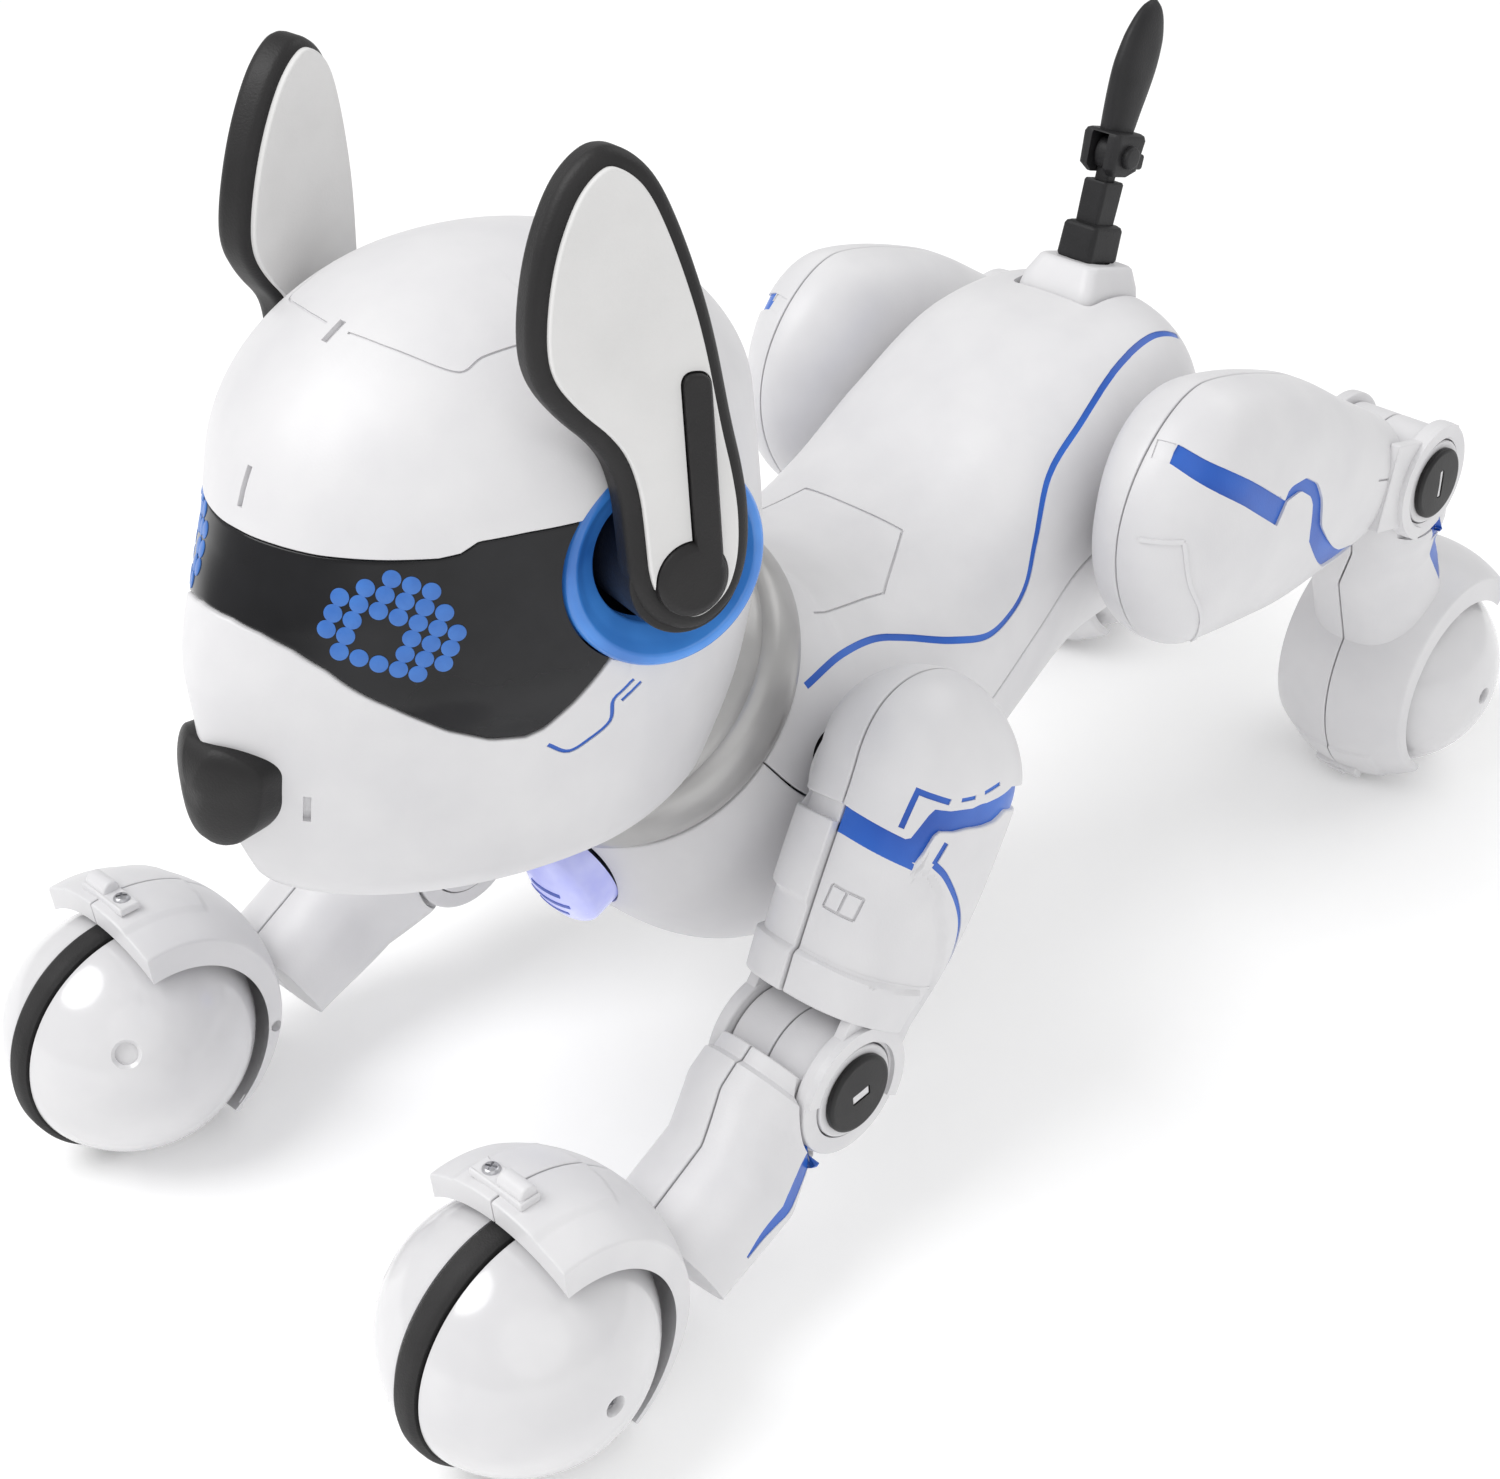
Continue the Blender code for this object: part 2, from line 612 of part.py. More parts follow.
def collar():
    """The satin ring between torso and head, and the post on which the head turns."""
    frame = axis_frame(NECK_CENTRE, NECK_AXIS, (0, 1, 0))
    profile = (
        (COLLAR_R - 5, COLLAR_LOW), (COLLAR_R - 1, COLLAR_LOW), (COLLAR_R + 0.6, -1.5),
        (COLLAR_R - 0.4, 3.0), (COLLAR_R - 3, COLLAR_HIGH), (COLLAR_R - 5, COLLAR_HIGH),
    )
    solid_object("neck_collar", ring_bm(profile, frame, 24), SILVER)
    profile = (
        (0, -9.5), (9, -9.5), (9, COLLAR_HIGH + 1.5), (19, COLLAR_HIGH + 1.5),
        (19, COLLAR_HIGH + 4), (9, COLLAR_HIGH + 4), (9, 16), (0, 16),
    )
    solid_object("neck_post", turned_bm(profile, frame, 16), BLACK_PLASTIC, pivot=NECK_CENTRE)


def tail(back):
    """A tapered socket on the rump, a stem in it and a flat blade hinged at the clasp."""
    axis = (0, math.sin(TAIL_LEAN), math.cos(TAIL_LEAN))
    frame = axis_frame(TAIL_BASE, axis, (0, 1, 0))
    bm = bmesh.new()
    bmesh.ops.create_cone(
        bm, cap_ends=True, segments=4, radius1=SOCKET_R, radius2=SOCKET_R - 4, depth=10
    )
    spin = Matrix.Rotation(math.radians(45), 4, "Z")
    bmesh.ops.transform(bm, matrix=frame @ Matrix.Translation((0, 0, 0.5)) @ spin, verts=bm.verts)
    socket = solid_object("tail_socket", bm, WHITE_GLOSS)
    bore_r = STEM_R + GAP
    bore = turned_bm(((0, -2), (bore_r, -2), (bore_r, 14), (0, 14)), frame, 12)
    boolean(socket, helper("tail_bore", mesh_from(bore, "bore")), "DIFFERENCE")
    bm = bmesh.new()
    bmesh.ops.create_cone(
        bm, cap_ends=True, segments=4, radius1=SOCKET_R + 0.5, radius2=SOCKET_R - 0.5, depth=22
    )
    bmesh.ops.transform(bm, matrix=frame @ spin, verts=bm.verts)
    boolean(back, helper("socket_hole", mesh_from(bm, "hole")), "DIFFERENCE")
    stem_top = TAIL_HINGE_UP - 5.6
    profile = (
        (0, -1.6), (STEM_R, -1.6), (STEM_R, 13), (STEM_R - 1.1, 14), (STEM_R - 1.1, stem_top), (0, stem_top),
    )
    solid_object("tail_stem", turned_bm(profile, frame, 12), BLACK_RUBBER, pivot=TAIL_BASE)
    profile = ((0, -4.2), (2.2, -4.2), (4.6, -1.8), (4.6, 4), (0, 4))
    raised = frame @ Matrix.Translation((0, 0, TAIL_HINGE_UP))
    clasp = turned_bm(profile, raised, 12)
    hinge = Vector(TAIL_BASE) + Vector(axis) * TAIL_HINGE_UP
    blade_obj = solid_object("tail_blade", clasp, BLACK_RUBBER, pivot=tuple(hinge))
    pin = rod_bm(-6.8, 6.8, hinge.y, hinge.z, 1.9, 10)
    boolean(blade_obj, helper("tail_pin", mesh_from(pin, "pin")), "UNION")
    bm = bmesh.new()
    bmesh.ops.create_uvsphere(bm, u_segments=12, v_segments=10, radius=1)
    size = Matrix.Diagonal((3.0, 5.6, 15.5, 1))
    place = frame @ Matrix.Translation((0, 0, TAIL_HINGE_UP + 16)) @ size
    bmesh.ops.transform(bm, matrix=place, verts=bm.verts)
    boolean(blade_obj, helper("tail_leaf", mesh_from(bm, "leaf")), "UNION")


def fittings(belly):
    """What the torso holds: power, electronics and the two geared drives."""
    counts = (3, 6)
    wide = (DOOR_TURNS[0] - 0.7, DOOR_TURNS[1] + 0.7)
    slot = skin_patch(TORSO, DOOR_AT[0] - 0.4, DOOR_AT[1] + 0.4, wide, counts, grow=2)
    cutter = helper("door_hole", mesh_from(slot, "hole"))
    outward(cutter.data, TORSO_MIDDLE)
    solidify(cutter, 7)
    boolean(belly, cutter, "DIFFERENCE")
    door = skin_patch(TORSO, DOOR_AT[0], DOOR_AT[1], DOOR_TURNS, counts)
    shell_object("battery_door", door, TORSO_MIDDLE, WHITE_GLOSS)
    solid_object("battery_pack", box_bm(*BATTERY_PACK), BLACK_PLASTIC)
    solid_object("main_board", box_bm(*MAIN_BOARD), BOARD_GREEN)
    frame = axis_frame(SPEAKER_CENTRE, LENS_AXIS)
    cone = turned_bm(((0, -6), (6, -6), (6, -2.5), (12, 0), (12, 1.5), (0, 1.5)), frame, 12)
    solid_object("speaker", cone, STEEL)
    reach = Vector((SWITCH_TRAVEL, GAP, 4.6))
    hole = box_bm(Vector(SWITCH_LOW) - reach, Vector(SWITCH_HIGH) + reach)
    boolean(belly, helper("switch_slot", mesh_from(hole, "slot")), "DIFFERENCE")
    solid_object("power_switch", box_bm(SWITCH_LOW, SWITCH_HIGH), BLACK_PLASTIC)
    for name, pivot, half, top in (("front_drive", SHOULDER, 10, 4), ("rear_drive", HIP, 14, 11)):
        low = (-DRIVE_HALF_WIDTH, pivot[1] - half, pivot[2] - 13)
        bm = box_bm(low, (DRIVE_HALF_WIDTH, pivot[1] + half, pivot[2] + top))
        drive = solid_object(name, bm, BLACK_PLASTIC, pivot=(0, pivot[1], pivot[2]))
        shaft = rod_bm(-pivot[0] - 5, pivot[0] + 5, pivot[1], pivot[2], SHAFT_R, 12)
        boolean(drive, helper(f"{name}_shaft", mesh_from(shaft, "shaft")), "UNION")


def front_share(turn):
    """1 at the middle of the face and 0 at the ends of the visor, by the ears."""
    low = math.sin(math.radians(12))
    return max(0.0, (math.sin(math.radians(turn)) - low) / (1 - low))


def visor_bottom(turn):
    return 110.5 + 21.8 * front_share(turn) ** 1.6


def visor_top(turn):
    return 144 - 0.6 * front_share(turn)


def skull_low(turn):
    """The seam: the visor's top edge in front, a level line behind the ears."""
    return visor_top(turn) + 0.6 if 12 <= turn <= 168 else 127.3


def jaw_high(turn):
    return visor_bottom(turn) - 1.8 if 12 <= turn <= 168 else 127.0


def head():
    centre = (0, 50, 125)
    neck = axis_frame(NECK_CENTRE, NECK_AXIS, (0, 1, 0))
    bm = skin_patch(HEAD, skull_low, HEAD[-1][0], (-90, 270), (5, 24), (0, HEAD_DOMES[1]))
    skull = shell_object("face_shell", bm, centre, WHITE_GLOSS)
    bm = skin_patch(HEAD, HEAD[0][0], jaw_high, (-90, 270), (5, 24), (HEAD_DOMES[0], 0))
    jaw = shell_object("jaw_shell", bm, centre, WHITE_GLOSS)
    bm = skin_patch(HEAD, visor_bottom, visor_top, VISOR_TURNS, (3, 18))
    visor = shell_object("visor", bm, centre, SMOKE, wall=1.6)
    bm = skin_patch(HEAD, 118, 134, (35, 145), (2, 12), grow=-4.5)
    shell_object("eye_board", bm, centre, BOARD_GREEN, wall=1.2)
    below = bmesh.new()
    bmesh.ops.create_cube(below, size=90)
    shift = neck @ Matrix.Translation((0, 0, COLLAR_HIGH + 0.5 - 45))
    bmesh.ops.transform(below, matrix=shift, verts=below.verts)
    boolean(jaw, helper("neck_cut", mesh_from(below, "cut")), "DIFFERENCE")
    nose = bmesh.new()
    bmesh.ops.create_uvsphere(nose, u_segments=14, v_segments=10, radius=1)
    pocket = nose.copy()
    place = Matrix.Translation(NOSE_CENTRE)
    size = Matrix.Diagonal((*NOSE_RADII, 1))
    bmesh.ops.transform(nose, matrix=place @ size, verts=nose.verts)
    solid_object("nose", nose, BLACK_PLASTIC)
    size = Matrix.Diagonal((*(radius + GAP for radius in NOSE_RADII), 1))
    bmesh.ops.transform(pocket, matrix=place @ size, verts=pocket.verts)
    boolean(jaw, helper("nose_pocket", mesh_from(pocket, "pocket")), "DIFFERENCE")
    for flank, side in (("left", 1), ("right", -1)):
        ear(flank, side, (skull, jaw, visor))


def ear_outline(inset):
    """(back, up) points round the ear, inset from its edge."""
    low, high = EAR_OUTLINE[0][0] + inset, EAR_OUTLINE[-1][0] - inset
    front, rear = [], []
    for up in spaced(low, high, 9, True, True):
        a, b = hermite(EAR_OUTLINE, up)
        share = min(inset / max((b - a) / 2, 0.1), 1)
        middle = (a + b) / 2
        front.append((a + (middle - a) * share, up))
        rear.append((b + (middle - b) * share, up))
    points = front + rear[::-1]
    return [p for k, p in enumerate(points) if (Vector(p) - Vector(points[k - 1])).length > 0.2]


def plate_bm(outline, frame, low, high):
    """A flat plate of an outline between two depths along a frame's Z."""
    bm = bmesh.new()
    face = bm.faces.new([bm.verts.new((x, y, low)) for x, y in outline])
    raised = bmesh.ops.extrude_face_region(bm, geom=[face])["geom"]
    verts = [item for item in raised if isinstance(item, bmesh.types.BMVert)]
    bmesh.ops.translate(bm, verts=verts, vec=(0, 0, high - low))
    bmesh.ops.transform(bm, matrix=frame, verts=bm.verts)
    return bm


def ear(flank, side, shells):
    """A thick black core with a white panel on each face, on a hub inside a blue ring."""
    frame = axis_frame(EAR_CENTRE, EAR_NORMAL)
    name = f"ear_core_{flank}"
    bm = plate_bm(ear_outline(0), frame, -EAR_THICKNESS, 0)
    core = solid_object(name, bm, BLACK_PLASTIC, side, EAR_CENTRE)
    hub = turned_bm(((0, -17), (EAR_HUB_R, -17), (EAR_HUB_R, -1), (0, -1)), frame, 14)
    boolean(core, helper(f"ear_hub_{flank}", mesh_from(hub, "hub", side)), "UNION")
    proud = PANEL_THICKNESS + 0.6
    disc = turned_bm(((0, -1), (EAR_DISC_R, -1), (EAR_DISC_R, proud), (0, proud)), frame, 14)
    boolean(core, helper(f"ear_disc_{flank}", mesh_from(disc, "disc", side)), "UNION")
    bar = [(1.0, 0), (4.0, 0), (4.6, 30), (1.6, 30.5)]
    bar_solid = plate_bm(bar, frame, -1, proud)
    boolean(core, helper(f"ear_bar_{flank}", mesh_from(bar_solid, "bar", side)), "UNION")
    bm = plate_bm(ear_outline(2.0), frame, GAP, PANEL_THICKNESS + GAP)
    panel = solid_object(f"ear_panel_outer_{flank}", bm, WHITE_GLOSS, side, EAR_CENTRE)
    reach = EAR_DISC_R + GAP
    disc = turned_bm(((0, -1), (reach, -1), (reach, 4), (0, 4)), frame, 14)
    boolean(panel, helper(f"disc_hole_{flank}", mesh_from(disc, "disc", side)), "DIFFERENCE")
    wide = [(1.0 - GAP, -1), (4.0 + GAP, -1), (4.6 + GAP, 30.5), (1.6 - GAP, 31)]
    slot = plate_bm(wide, frame, -1, 4)
    boolean(panel, helper(f"bar_hole_{flank}", mesh_from(slot, "slot", side)), "DIFFERENCE")
    outline = [p for p in ear_outline(2.0) if p[1] > 16]
    bm = plate_bm(outline, frame, -EAR_THICKNESS - PANEL_THICKNESS - GAP, -EAR_THICKNESS - GAP)
    solid_object(f"ear_panel_inner_{flank}", bm, WHITE_GLOSS, side, EAR_CENTRE)
    profile = (
        (12.5, -14), (EAR_RING_R, -14), (EAR_RING_R, -9.2), (EAR_RING_R - 3, -7.4), (12.5, -6.6),
    )
    solid_object(f"ear_ring_{flank}", ring_bm(profile, frame, 20), BLUE_CLEAR, side)
    reach = EAR_RING_R + GAP
    cut = turned_bm(((0, -16), (reach, -16), (reach, 10), (0, 10)), frame, 20)
    cutter = helper(f"ear_opening_{flank}", mesh_from(cut, "cut", side))
    for shell in shells:
        boolean(shell, cutter, "DIFFERENCE")


legs()
shells = torso()
chest_lens(shells["belly_shell"])
collar()
tail(shells["back_shell"])
fittings(shells["belly_shell"])
head()
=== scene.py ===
"""The looks of a robot dog toy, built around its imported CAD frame.

Shapes are made in table millimetres, with Y counted from the front wheel axis, and turned
into metres when a piece is added. The dog faces -Y and its left side is +X.
"""

import math

import bmesh
import bpy
import numpy as np
from mathutils import Matrix, Vector
from mathutils.bvhtree import BVHTree


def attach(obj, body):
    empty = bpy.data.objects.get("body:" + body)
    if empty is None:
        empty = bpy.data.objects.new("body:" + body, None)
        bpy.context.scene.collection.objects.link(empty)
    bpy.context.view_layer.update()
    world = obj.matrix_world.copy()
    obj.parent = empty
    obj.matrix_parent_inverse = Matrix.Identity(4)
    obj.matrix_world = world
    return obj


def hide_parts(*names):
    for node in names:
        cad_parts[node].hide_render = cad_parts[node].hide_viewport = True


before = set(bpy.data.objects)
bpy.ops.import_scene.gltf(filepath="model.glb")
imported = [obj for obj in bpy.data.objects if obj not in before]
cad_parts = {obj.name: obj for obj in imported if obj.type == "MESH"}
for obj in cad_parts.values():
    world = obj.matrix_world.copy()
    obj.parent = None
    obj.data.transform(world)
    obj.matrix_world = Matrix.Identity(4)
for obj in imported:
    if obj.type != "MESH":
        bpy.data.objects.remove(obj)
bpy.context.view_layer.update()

MM = 0.001
FRONT_AXIS_Y = -134.0
TO_WORLD = Matrix.Diagonal((MM, MM, MM, 1)) @ Matrix.Translation((0, FRONT_AXIS_Y, 0))
MIRROR = Matrix.Diagonal((-1, 1, 1, 1))

# Wall of a shell, half the seam between two halves, and the radius of a shell's edge
WALL = 1.8
HALF_GAP = 0.16
RIM = 0.35
RIM_SHARES = (0, 0.04, 0.15, 0.35, 0.65)
BOTH = (True, True)
# Length of a mesh face, and how many points a line gets while it is measured
STEP = 0.85
FINE = 600
# The side of a limb that each half is on, and the turns of the skin that it covers
SIGNS = {"outer": 1, "inner": -1}
TURNS = {"outer": (-90, 90), "inner": (90, 270)}

# Feet: radii, widths, and the angles about the wheel axis where each hood starts and ends
BALL_R = 22.5
TYRE_R = 23.5
TYRE_WIDTH = 4.6
HOOD_INNER_R = 24.9
HOOD_OUTER_R = 27.8
HOOD_RISE = 1.8
HOOD_HALF_WIDTH = 15.5
HOOD_STEP = 0.6
PANEL_HALF_WIDTH = 9.4
PANEL_RISE = 0.4
FRONT_HOOD_TURNS = (84, 240)
REAR_HOOD_TURNS = (-57, 133)
AXLE_R = 2.0
AXLE_TIP = 14.0

# Joints of the left legs and the cheeks that hold the lower ones
SHOULDER = (50.0, 95.0, 76.0)
ELBOW = (50.0, 68.5, 34.5)
FRONT_WHEEL = (53.4, 0.0, TYRE_R)
HIP = (44.5, 182.0, 94.0)
KNEE = (46.0, 244.0, 82.0)
REAR_WHEEL = (42.5, 268.0, TYRE_R)
SHAFT_R = 4.0
KNUCKLE_R = 9.0
JOINT_HALF_WIDTH = 11.5
CHEEK_THICKNESS = 2.6
CHEEK_R = KNUCKLE_R + 3.2
CAP_R = 7.3

NECK_CENTRE = (0.0, 78.0, 87.0)
NECK_TILT = math.radians(43.0)
NECK_AXIS = (0.0, -math.sin(NECK_TILT), math.cos(NECK_TILT))
COLLAR_R = 31.0
COLLAR_LOW = -6.0
COLLAR_HIGH = 5.0
HEAD_MID_Y = 48.0
HEAD_DOMES = (14, 28)
VISOR_TURNS = (10, 170)

EAR_CENTRE = (47.0, 47.4, 136.4)
EAR_NORMAL = (0.946, -0.294, 0.132)
EAR_THICKNESS = 6.0
RING_LIP_R = 16.6
EAR_HUB_R = 9.0
EAR_DISC_R = 5.6

LENS_CENTRE = (0.0, 60.5, 51.5)
LENS_AXIS = (0.0, -0.93, -0.37)
LENS_R = 8.5
TORSO_DOMES = (0, 28)
SEAM = 4
DOOR_AT = (44, 78)
DOOR_TURNS = (-118, -62)

TAIL_BASE = (0.0, 199.5, 121.0)
TAIL_LEAN = math.radians(16.0)
TAIL_AXIS = (0.0, math.sin(TAIL_LEAN), math.cos(TAIL_LEAN))
TAIL_HINGE_UP = 26.0
STEM_R = 4.4

# Floor, lamps (name, place, size, power) and camera, in metres, millimetres for its place
FLOOR_REACH = 6.0
LAMP_AIM = Vector((0, 0, 0.08))
LAMPS = (
    ("key", (-0.35, -0.75, 1.15), 0.9, 9.5),
    ("fill", (0.95, -0.5, 0.7), 1.2, 2.0),
    ("back", (0.3, 0.9, 1.0), 1.0, 3.0),
)
CAMERA_PLACE = (274.80, -304.46, 313.94)
CAMERA_TURN = 44.739
CAMERA_RISE = 33.133
CAMERA_ROLL = -0.625

# at, y, z, tilt, half width, plus, minus, power plus, power minus
TORSO = (
    (0, 82.7, 80.8, -47, 29, 29, 29, 2.0, 2.0),
    (8, 88.5, 74.5, -36, 32, 31, 37, 2.1, 2.1),
    (22, 99.0, 66.0, -18, 34, 33, 40, 2.3, 2.1),
    (40, 115.0, 62.0, 0, 34, 35, 36, 2.5, 2.1),
    (60, 134.0, 68.0, 14, 32, 28.5, 32, 2.7, 2.2),
    (80, 152.0, 77.0, 22, 30, 26, 33, 2.9, 2.2),
    (98, 168.0, 86.0, 20, 28.5, 27.5, 36, 3.0, 2.3),
    (116, 186.0, 91.0, 8, 29, 31, 38, 3.0, 2.3),
    (134, 203.0, 93.0, -6, 29, 29, 34, 2.6, 2.2),
    (152, 221.0, 93.0, -6, 29, 26, 28, 2.3, 2.2),
)
HEAD = (
    (72, HEAD_MID_Y, 72, 90, 27, 43, 28, 1.8, 2.0),
    (85, HEAD_MID_Y, 85, 90, 31, 49, 38, 1.6, 2.0),
    (98, HEAD_MID_Y, 98, 90, 34, 53.5, 45, 1.4, 2.0),
    (112, HEAD_MID_Y, 112, 90, 36.5, 56, 48, 1.4, 2.0),
    (121, HEAD_MID_Y, 121, 90, 38, 56, 49, 1.5, 2.0),
    (132, HEAD_MID_Y, 132, 90, 38.5, 52, 48, 1.6, 2.0),
    (140, HEAD_MID_Y, 140, 90, 38.5, 47.5, 47, 1.7, 2.0),
    (148, HEAD_MID_Y, 148, 90, 38.5, 44, 46, 1.8, 2.0),
    (174.5, HEAD_MID_Y, 174.5, 90, 34, 38, 44, 1.9, 2.0),
)
FRONT_THIGH = (
    (0, 103.0, 97.0, 240, 12.5, 19, 20, 2.6, 2.6),
    (18, 97.0, 80.0, 238, 13.5, 20, 19, 2.6, 2.6),
    (32, 90.0, 67.0, 236, 13.5, 20, 18.5, 2.6, 2.6),
    (46, 82.5, 55.0, 235, 13.2, 18.5, 17, 2.6, 2.6),
    (60, 75.0, 44.0, 234, 12.6, 15, 14.5, 2.5, 2.5),
)
FRONT_SHIN = (
    (0, 62.5, 35.5, 214, 11.5, 13.0, 13.0, 2.4, 2.4),
    (16, 49.0, 26.5, 214, 12.0, 12.0, 12.0, 2.4, 2.4),
    (36, 32.0, 16.5, 206, 12.5, 6.5, 12.0, 2.4, 2.4),
)
REAR_THIGH = (
    (0, 156.0, 100.0, -8, 12.5, 22, 22, 2.4, 2.4),
    (22, 177.0, 97.0, -9, 14.0, 25, 26, 2.4, 2.4),
    (44, 199.0, 93.0, -12, 13.5, 22.5, 25, 2.4, 2.4),
    (66, 220.0, 88.0, -14, 12.5, 16, 19, 2.4, 2.4),
    (80, 233.0, 85.0, -14, 11.5, 12, 13, 2.4, 2.4),
)
REAR_SHIN = (
    (0, 246.0, 76.0, -76, 10.5, 12.0, 12.0, 2.4, 2.4),
    (14, 250.0, 63.0, -70, 11.5, 12.0, 13.0, 2.4, 2.4),
    (36, 258.0, 42.0, -68, 12.5, 12.0, 14.0, 2.4, 2.4),
)

# Height above the ear centre, front edge, rear edge
EAR_OUTLINE = (
    (-9.5, 0.5, 0.5),
    (-6, -6.2, 7.2),
    (0, -9.0, 10.2),
    (8, -9.0, 11.0),
    (15, -9.2, 10.4),
    (21, -11.0, 9.4),
    (27, -16.8, 8.7),
    (33, -20.6, 8.0),
    (40, -20.8, 6.8),
    (50, -18.4, 4.2),
    (58, -14.4, 1.2),
    (62, -10.6, -2.4),
    (63.8, -6.5, -6.5),
)


# ---------------------------------------------------------------- skins


def hermite(columns, at):
    """Smooth monotone interpolation through table rows, as one array per column."""
    rows = np.array(columns, float)
    places, values = rows[:, 0], rows[:, 1:]
    slopes = np.diff(values, axis=0) / np.diff(places)[:, None]
    before, after = slopes[:-1], slopes[1:]
    same = before * after > 0
    middle = np.where(same, 2 * before * after / np.where(same, before + after, 1), 0)
    tangents = np.vstack([slopes[:1], middle, slopes[-1:]])
    inside = np.clip(at, places[0], places[-1])
    i = np.clip(np.searchsorted(places, inside, side="right") - 1, 0, len(places) - 2)
    width = (places[i + 1] - places[i])[..., None]
    u = (inside - places[i])[..., None] / width
    result = (
        (2 * u**3 - 3 * u**2 + 1) * values[i]
        + (u**3 - 2 * u**2 + u) * width * tangents[i]
        + (3 * u**2 - 2 * u**3) * values[i + 1]
        + (u**3 - u**2) * width * tangents[i + 1]
    )
    ends = np.where((at < places[0])[..., None], tangents[0], tangents[-1])
    beyond = (at - inside)[..., None] * ends
    beyond[..., 2:] = 0
    return np.moveaxis(result + beyond, -1, 0)


def signed_power(value, power):
    return np.sign(value) * np.abs(value) ** power


def skin(table, at, turn, grow=0.0, domes=(0, 0), x_mid=0.0):
    """Points of a skin: at along its spine, turn in degrees from +X towards the plus side."""
    at, turn, grow = (
        np.array(a) for a in np.broadcast_arrays(
            np.asarray(at, float), np.asarray(turn, float), np.asarray(grow, float)
        )
    )
    y, z, tilt, half_width, plus, minus, power_plus, power_minus = hermite(table, at)
    factor = np.ones(at.shape)
    first, last = table[0][0], table[-1][0]
    if domes[0]:
        u = np.clip((first + domes[0] - at) / (domes[0] + grow), 0, 1)
        factor = np.minimum(factor, np.sqrt(1 - u**2))
    if domes[1]:
        u = np.clip((at - last + domes[1]) / (domes[1] + grow), 0, 1)
        factor = np.minimum(factor, np.sqrt(1 - u**2))
    cosine, sine = np.cos(np.radians(turn)), np.sin(np.radians(turn))
    power = np.where(sine >= 0, power_plus, power_minus)
    reach = np.where(sine >= 0, plus, minus)
    across = signed_power(cosine, 2 / power) * (half_width + grow) * factor
    up = signed_power(sine, 2 / power) * (reach + grow) * factor
    tilt = np.radians(tilt)
    middle = x_mid(at) if callable(x_mid) else x_mid
    return np.stack([middle + across, y - np.sin(tilt) * up, z + np.cos(tilt) * up], -1)


def locate(table, points, domes=(0, 0), x_mid=0.0, turns=(-90, 90)):
    """(at, turn) of the skin nearest each point."""
    at, turn = np.meshgrid(
        np.linspace(table[0][0], table[-1][0], 300), np.linspace(*turns, 500), indexing="ij"
    )
    grid = skin(table, at, turn, 0, domes, x_mid).reshape(-1, 3)
    found = []
    for point in points:
        k = np.argmin(((grid - np.array(point)) ** 2).sum(1))
        found.append((at.flat[k], turn.flat[k]))
    return np.array(found)


def edge_along(table, points, domes, x_mid, over_turn):
    """One coordinate on a skin as a function of the other, along an edge given by points."""
    found = locate(table, points, domes, x_mid)
    known, wanted = (1, 0) if over_turn else (0, 1)
    found = found[np.argsort(found[:, known], kind="stable")]
    return lambda value: np.interp(value, found[:, known], found[:, wanted])


def line_places(length, rims, step=STEP):
    """Distances along a line: evenly spaced, and closer together in a rounded rim at an end."""
    places = []
    if rims[0]:
        places += [RIM * share for share in RIM_SHARES]
    if rims[1]:
        places += [length - RIM * share for share in RIM_SHARES]
    low, high = RIM * rims[0], length - RIM * rims[1]
    count = max(3, int(round((high - low) / step)))
    places += list(np.linspace(low, high, count + 1))
    return np.array(sorted(places))


def rim_drop(distance):
    """How far a rounded rim has dropped at a distance from its edge."""
    d = np.clip(distance, 0, RIM)
    return RIM - np.sqrt(np.maximum(RIM**2 - (RIM - d) ** 2, 0))


def rims_drop(distance, total, rims):
    """The drop of the rounded rims at the two ends of a line."""
    return rim_drop(distance) * rims[0] + rim_drop(total - distance) * rims[1]


def arc_length(points):
    """Distances along a polyline, starting from 0."""
    return np.concatenate([[0], np.cumsum(np.linalg.norm(np.diff(points, axis=0), axis=1))])


def resampled(line, rims, step):
    """Places along a line as shares of its point numbers, the same as distances, and its length."""
    length = arc_length(line)
    wanted = line_places(length[-1], rims, step)
    return np.interp(wanted, length, np.linspace(0, 1, len(line))), wanted, length[-1]


def grid_faces(rows, cols, start=0, flip=False):
    index = start + np.arange(rows * cols).reshape(rows, cols)
    quads = np.stack(
        [index[:-1, :-1], index[:-1, 1:], index[1:, 1:], index[1:, :-1]], -1
    ).reshape(-1, 4)
    return quads[:, ::-1] if flip else quads


def mesh_from(verts, faces, outside=None):
    """A clean closed mesh with its faces outward; faces after the outside ones are marked."""
    mesh = bpy.data.meshes.new("part")
    mesh.from_pydata(np.asarray(verts, float).tolist(), [], faces)
    if outside:
        marks = np.zeros(len(mesh.polygons), np.int32)
        marks[outside:] = 1
        mesh.polygons.foreach_set("material_index", marks)
    bm = bmesh.new()
    bm.from_mesh(mesh)
    bmesh.ops.remove_doubles(bm, verts=bm.verts, dist=2e-4)
    bmesh.ops.dissolve_degenerate(bm, edges=bm.edges, dist=1e-4)
    bmesh.ops.recalc_face_normals(bm, faces=bm.faces)
    if bm.calc_volume(signed=True) < 0:
        bmesh.ops.reverse_faces(bm, faces=bm.faces)
    bm.to_mesh(mesh)
    bm.free()
    return mesh


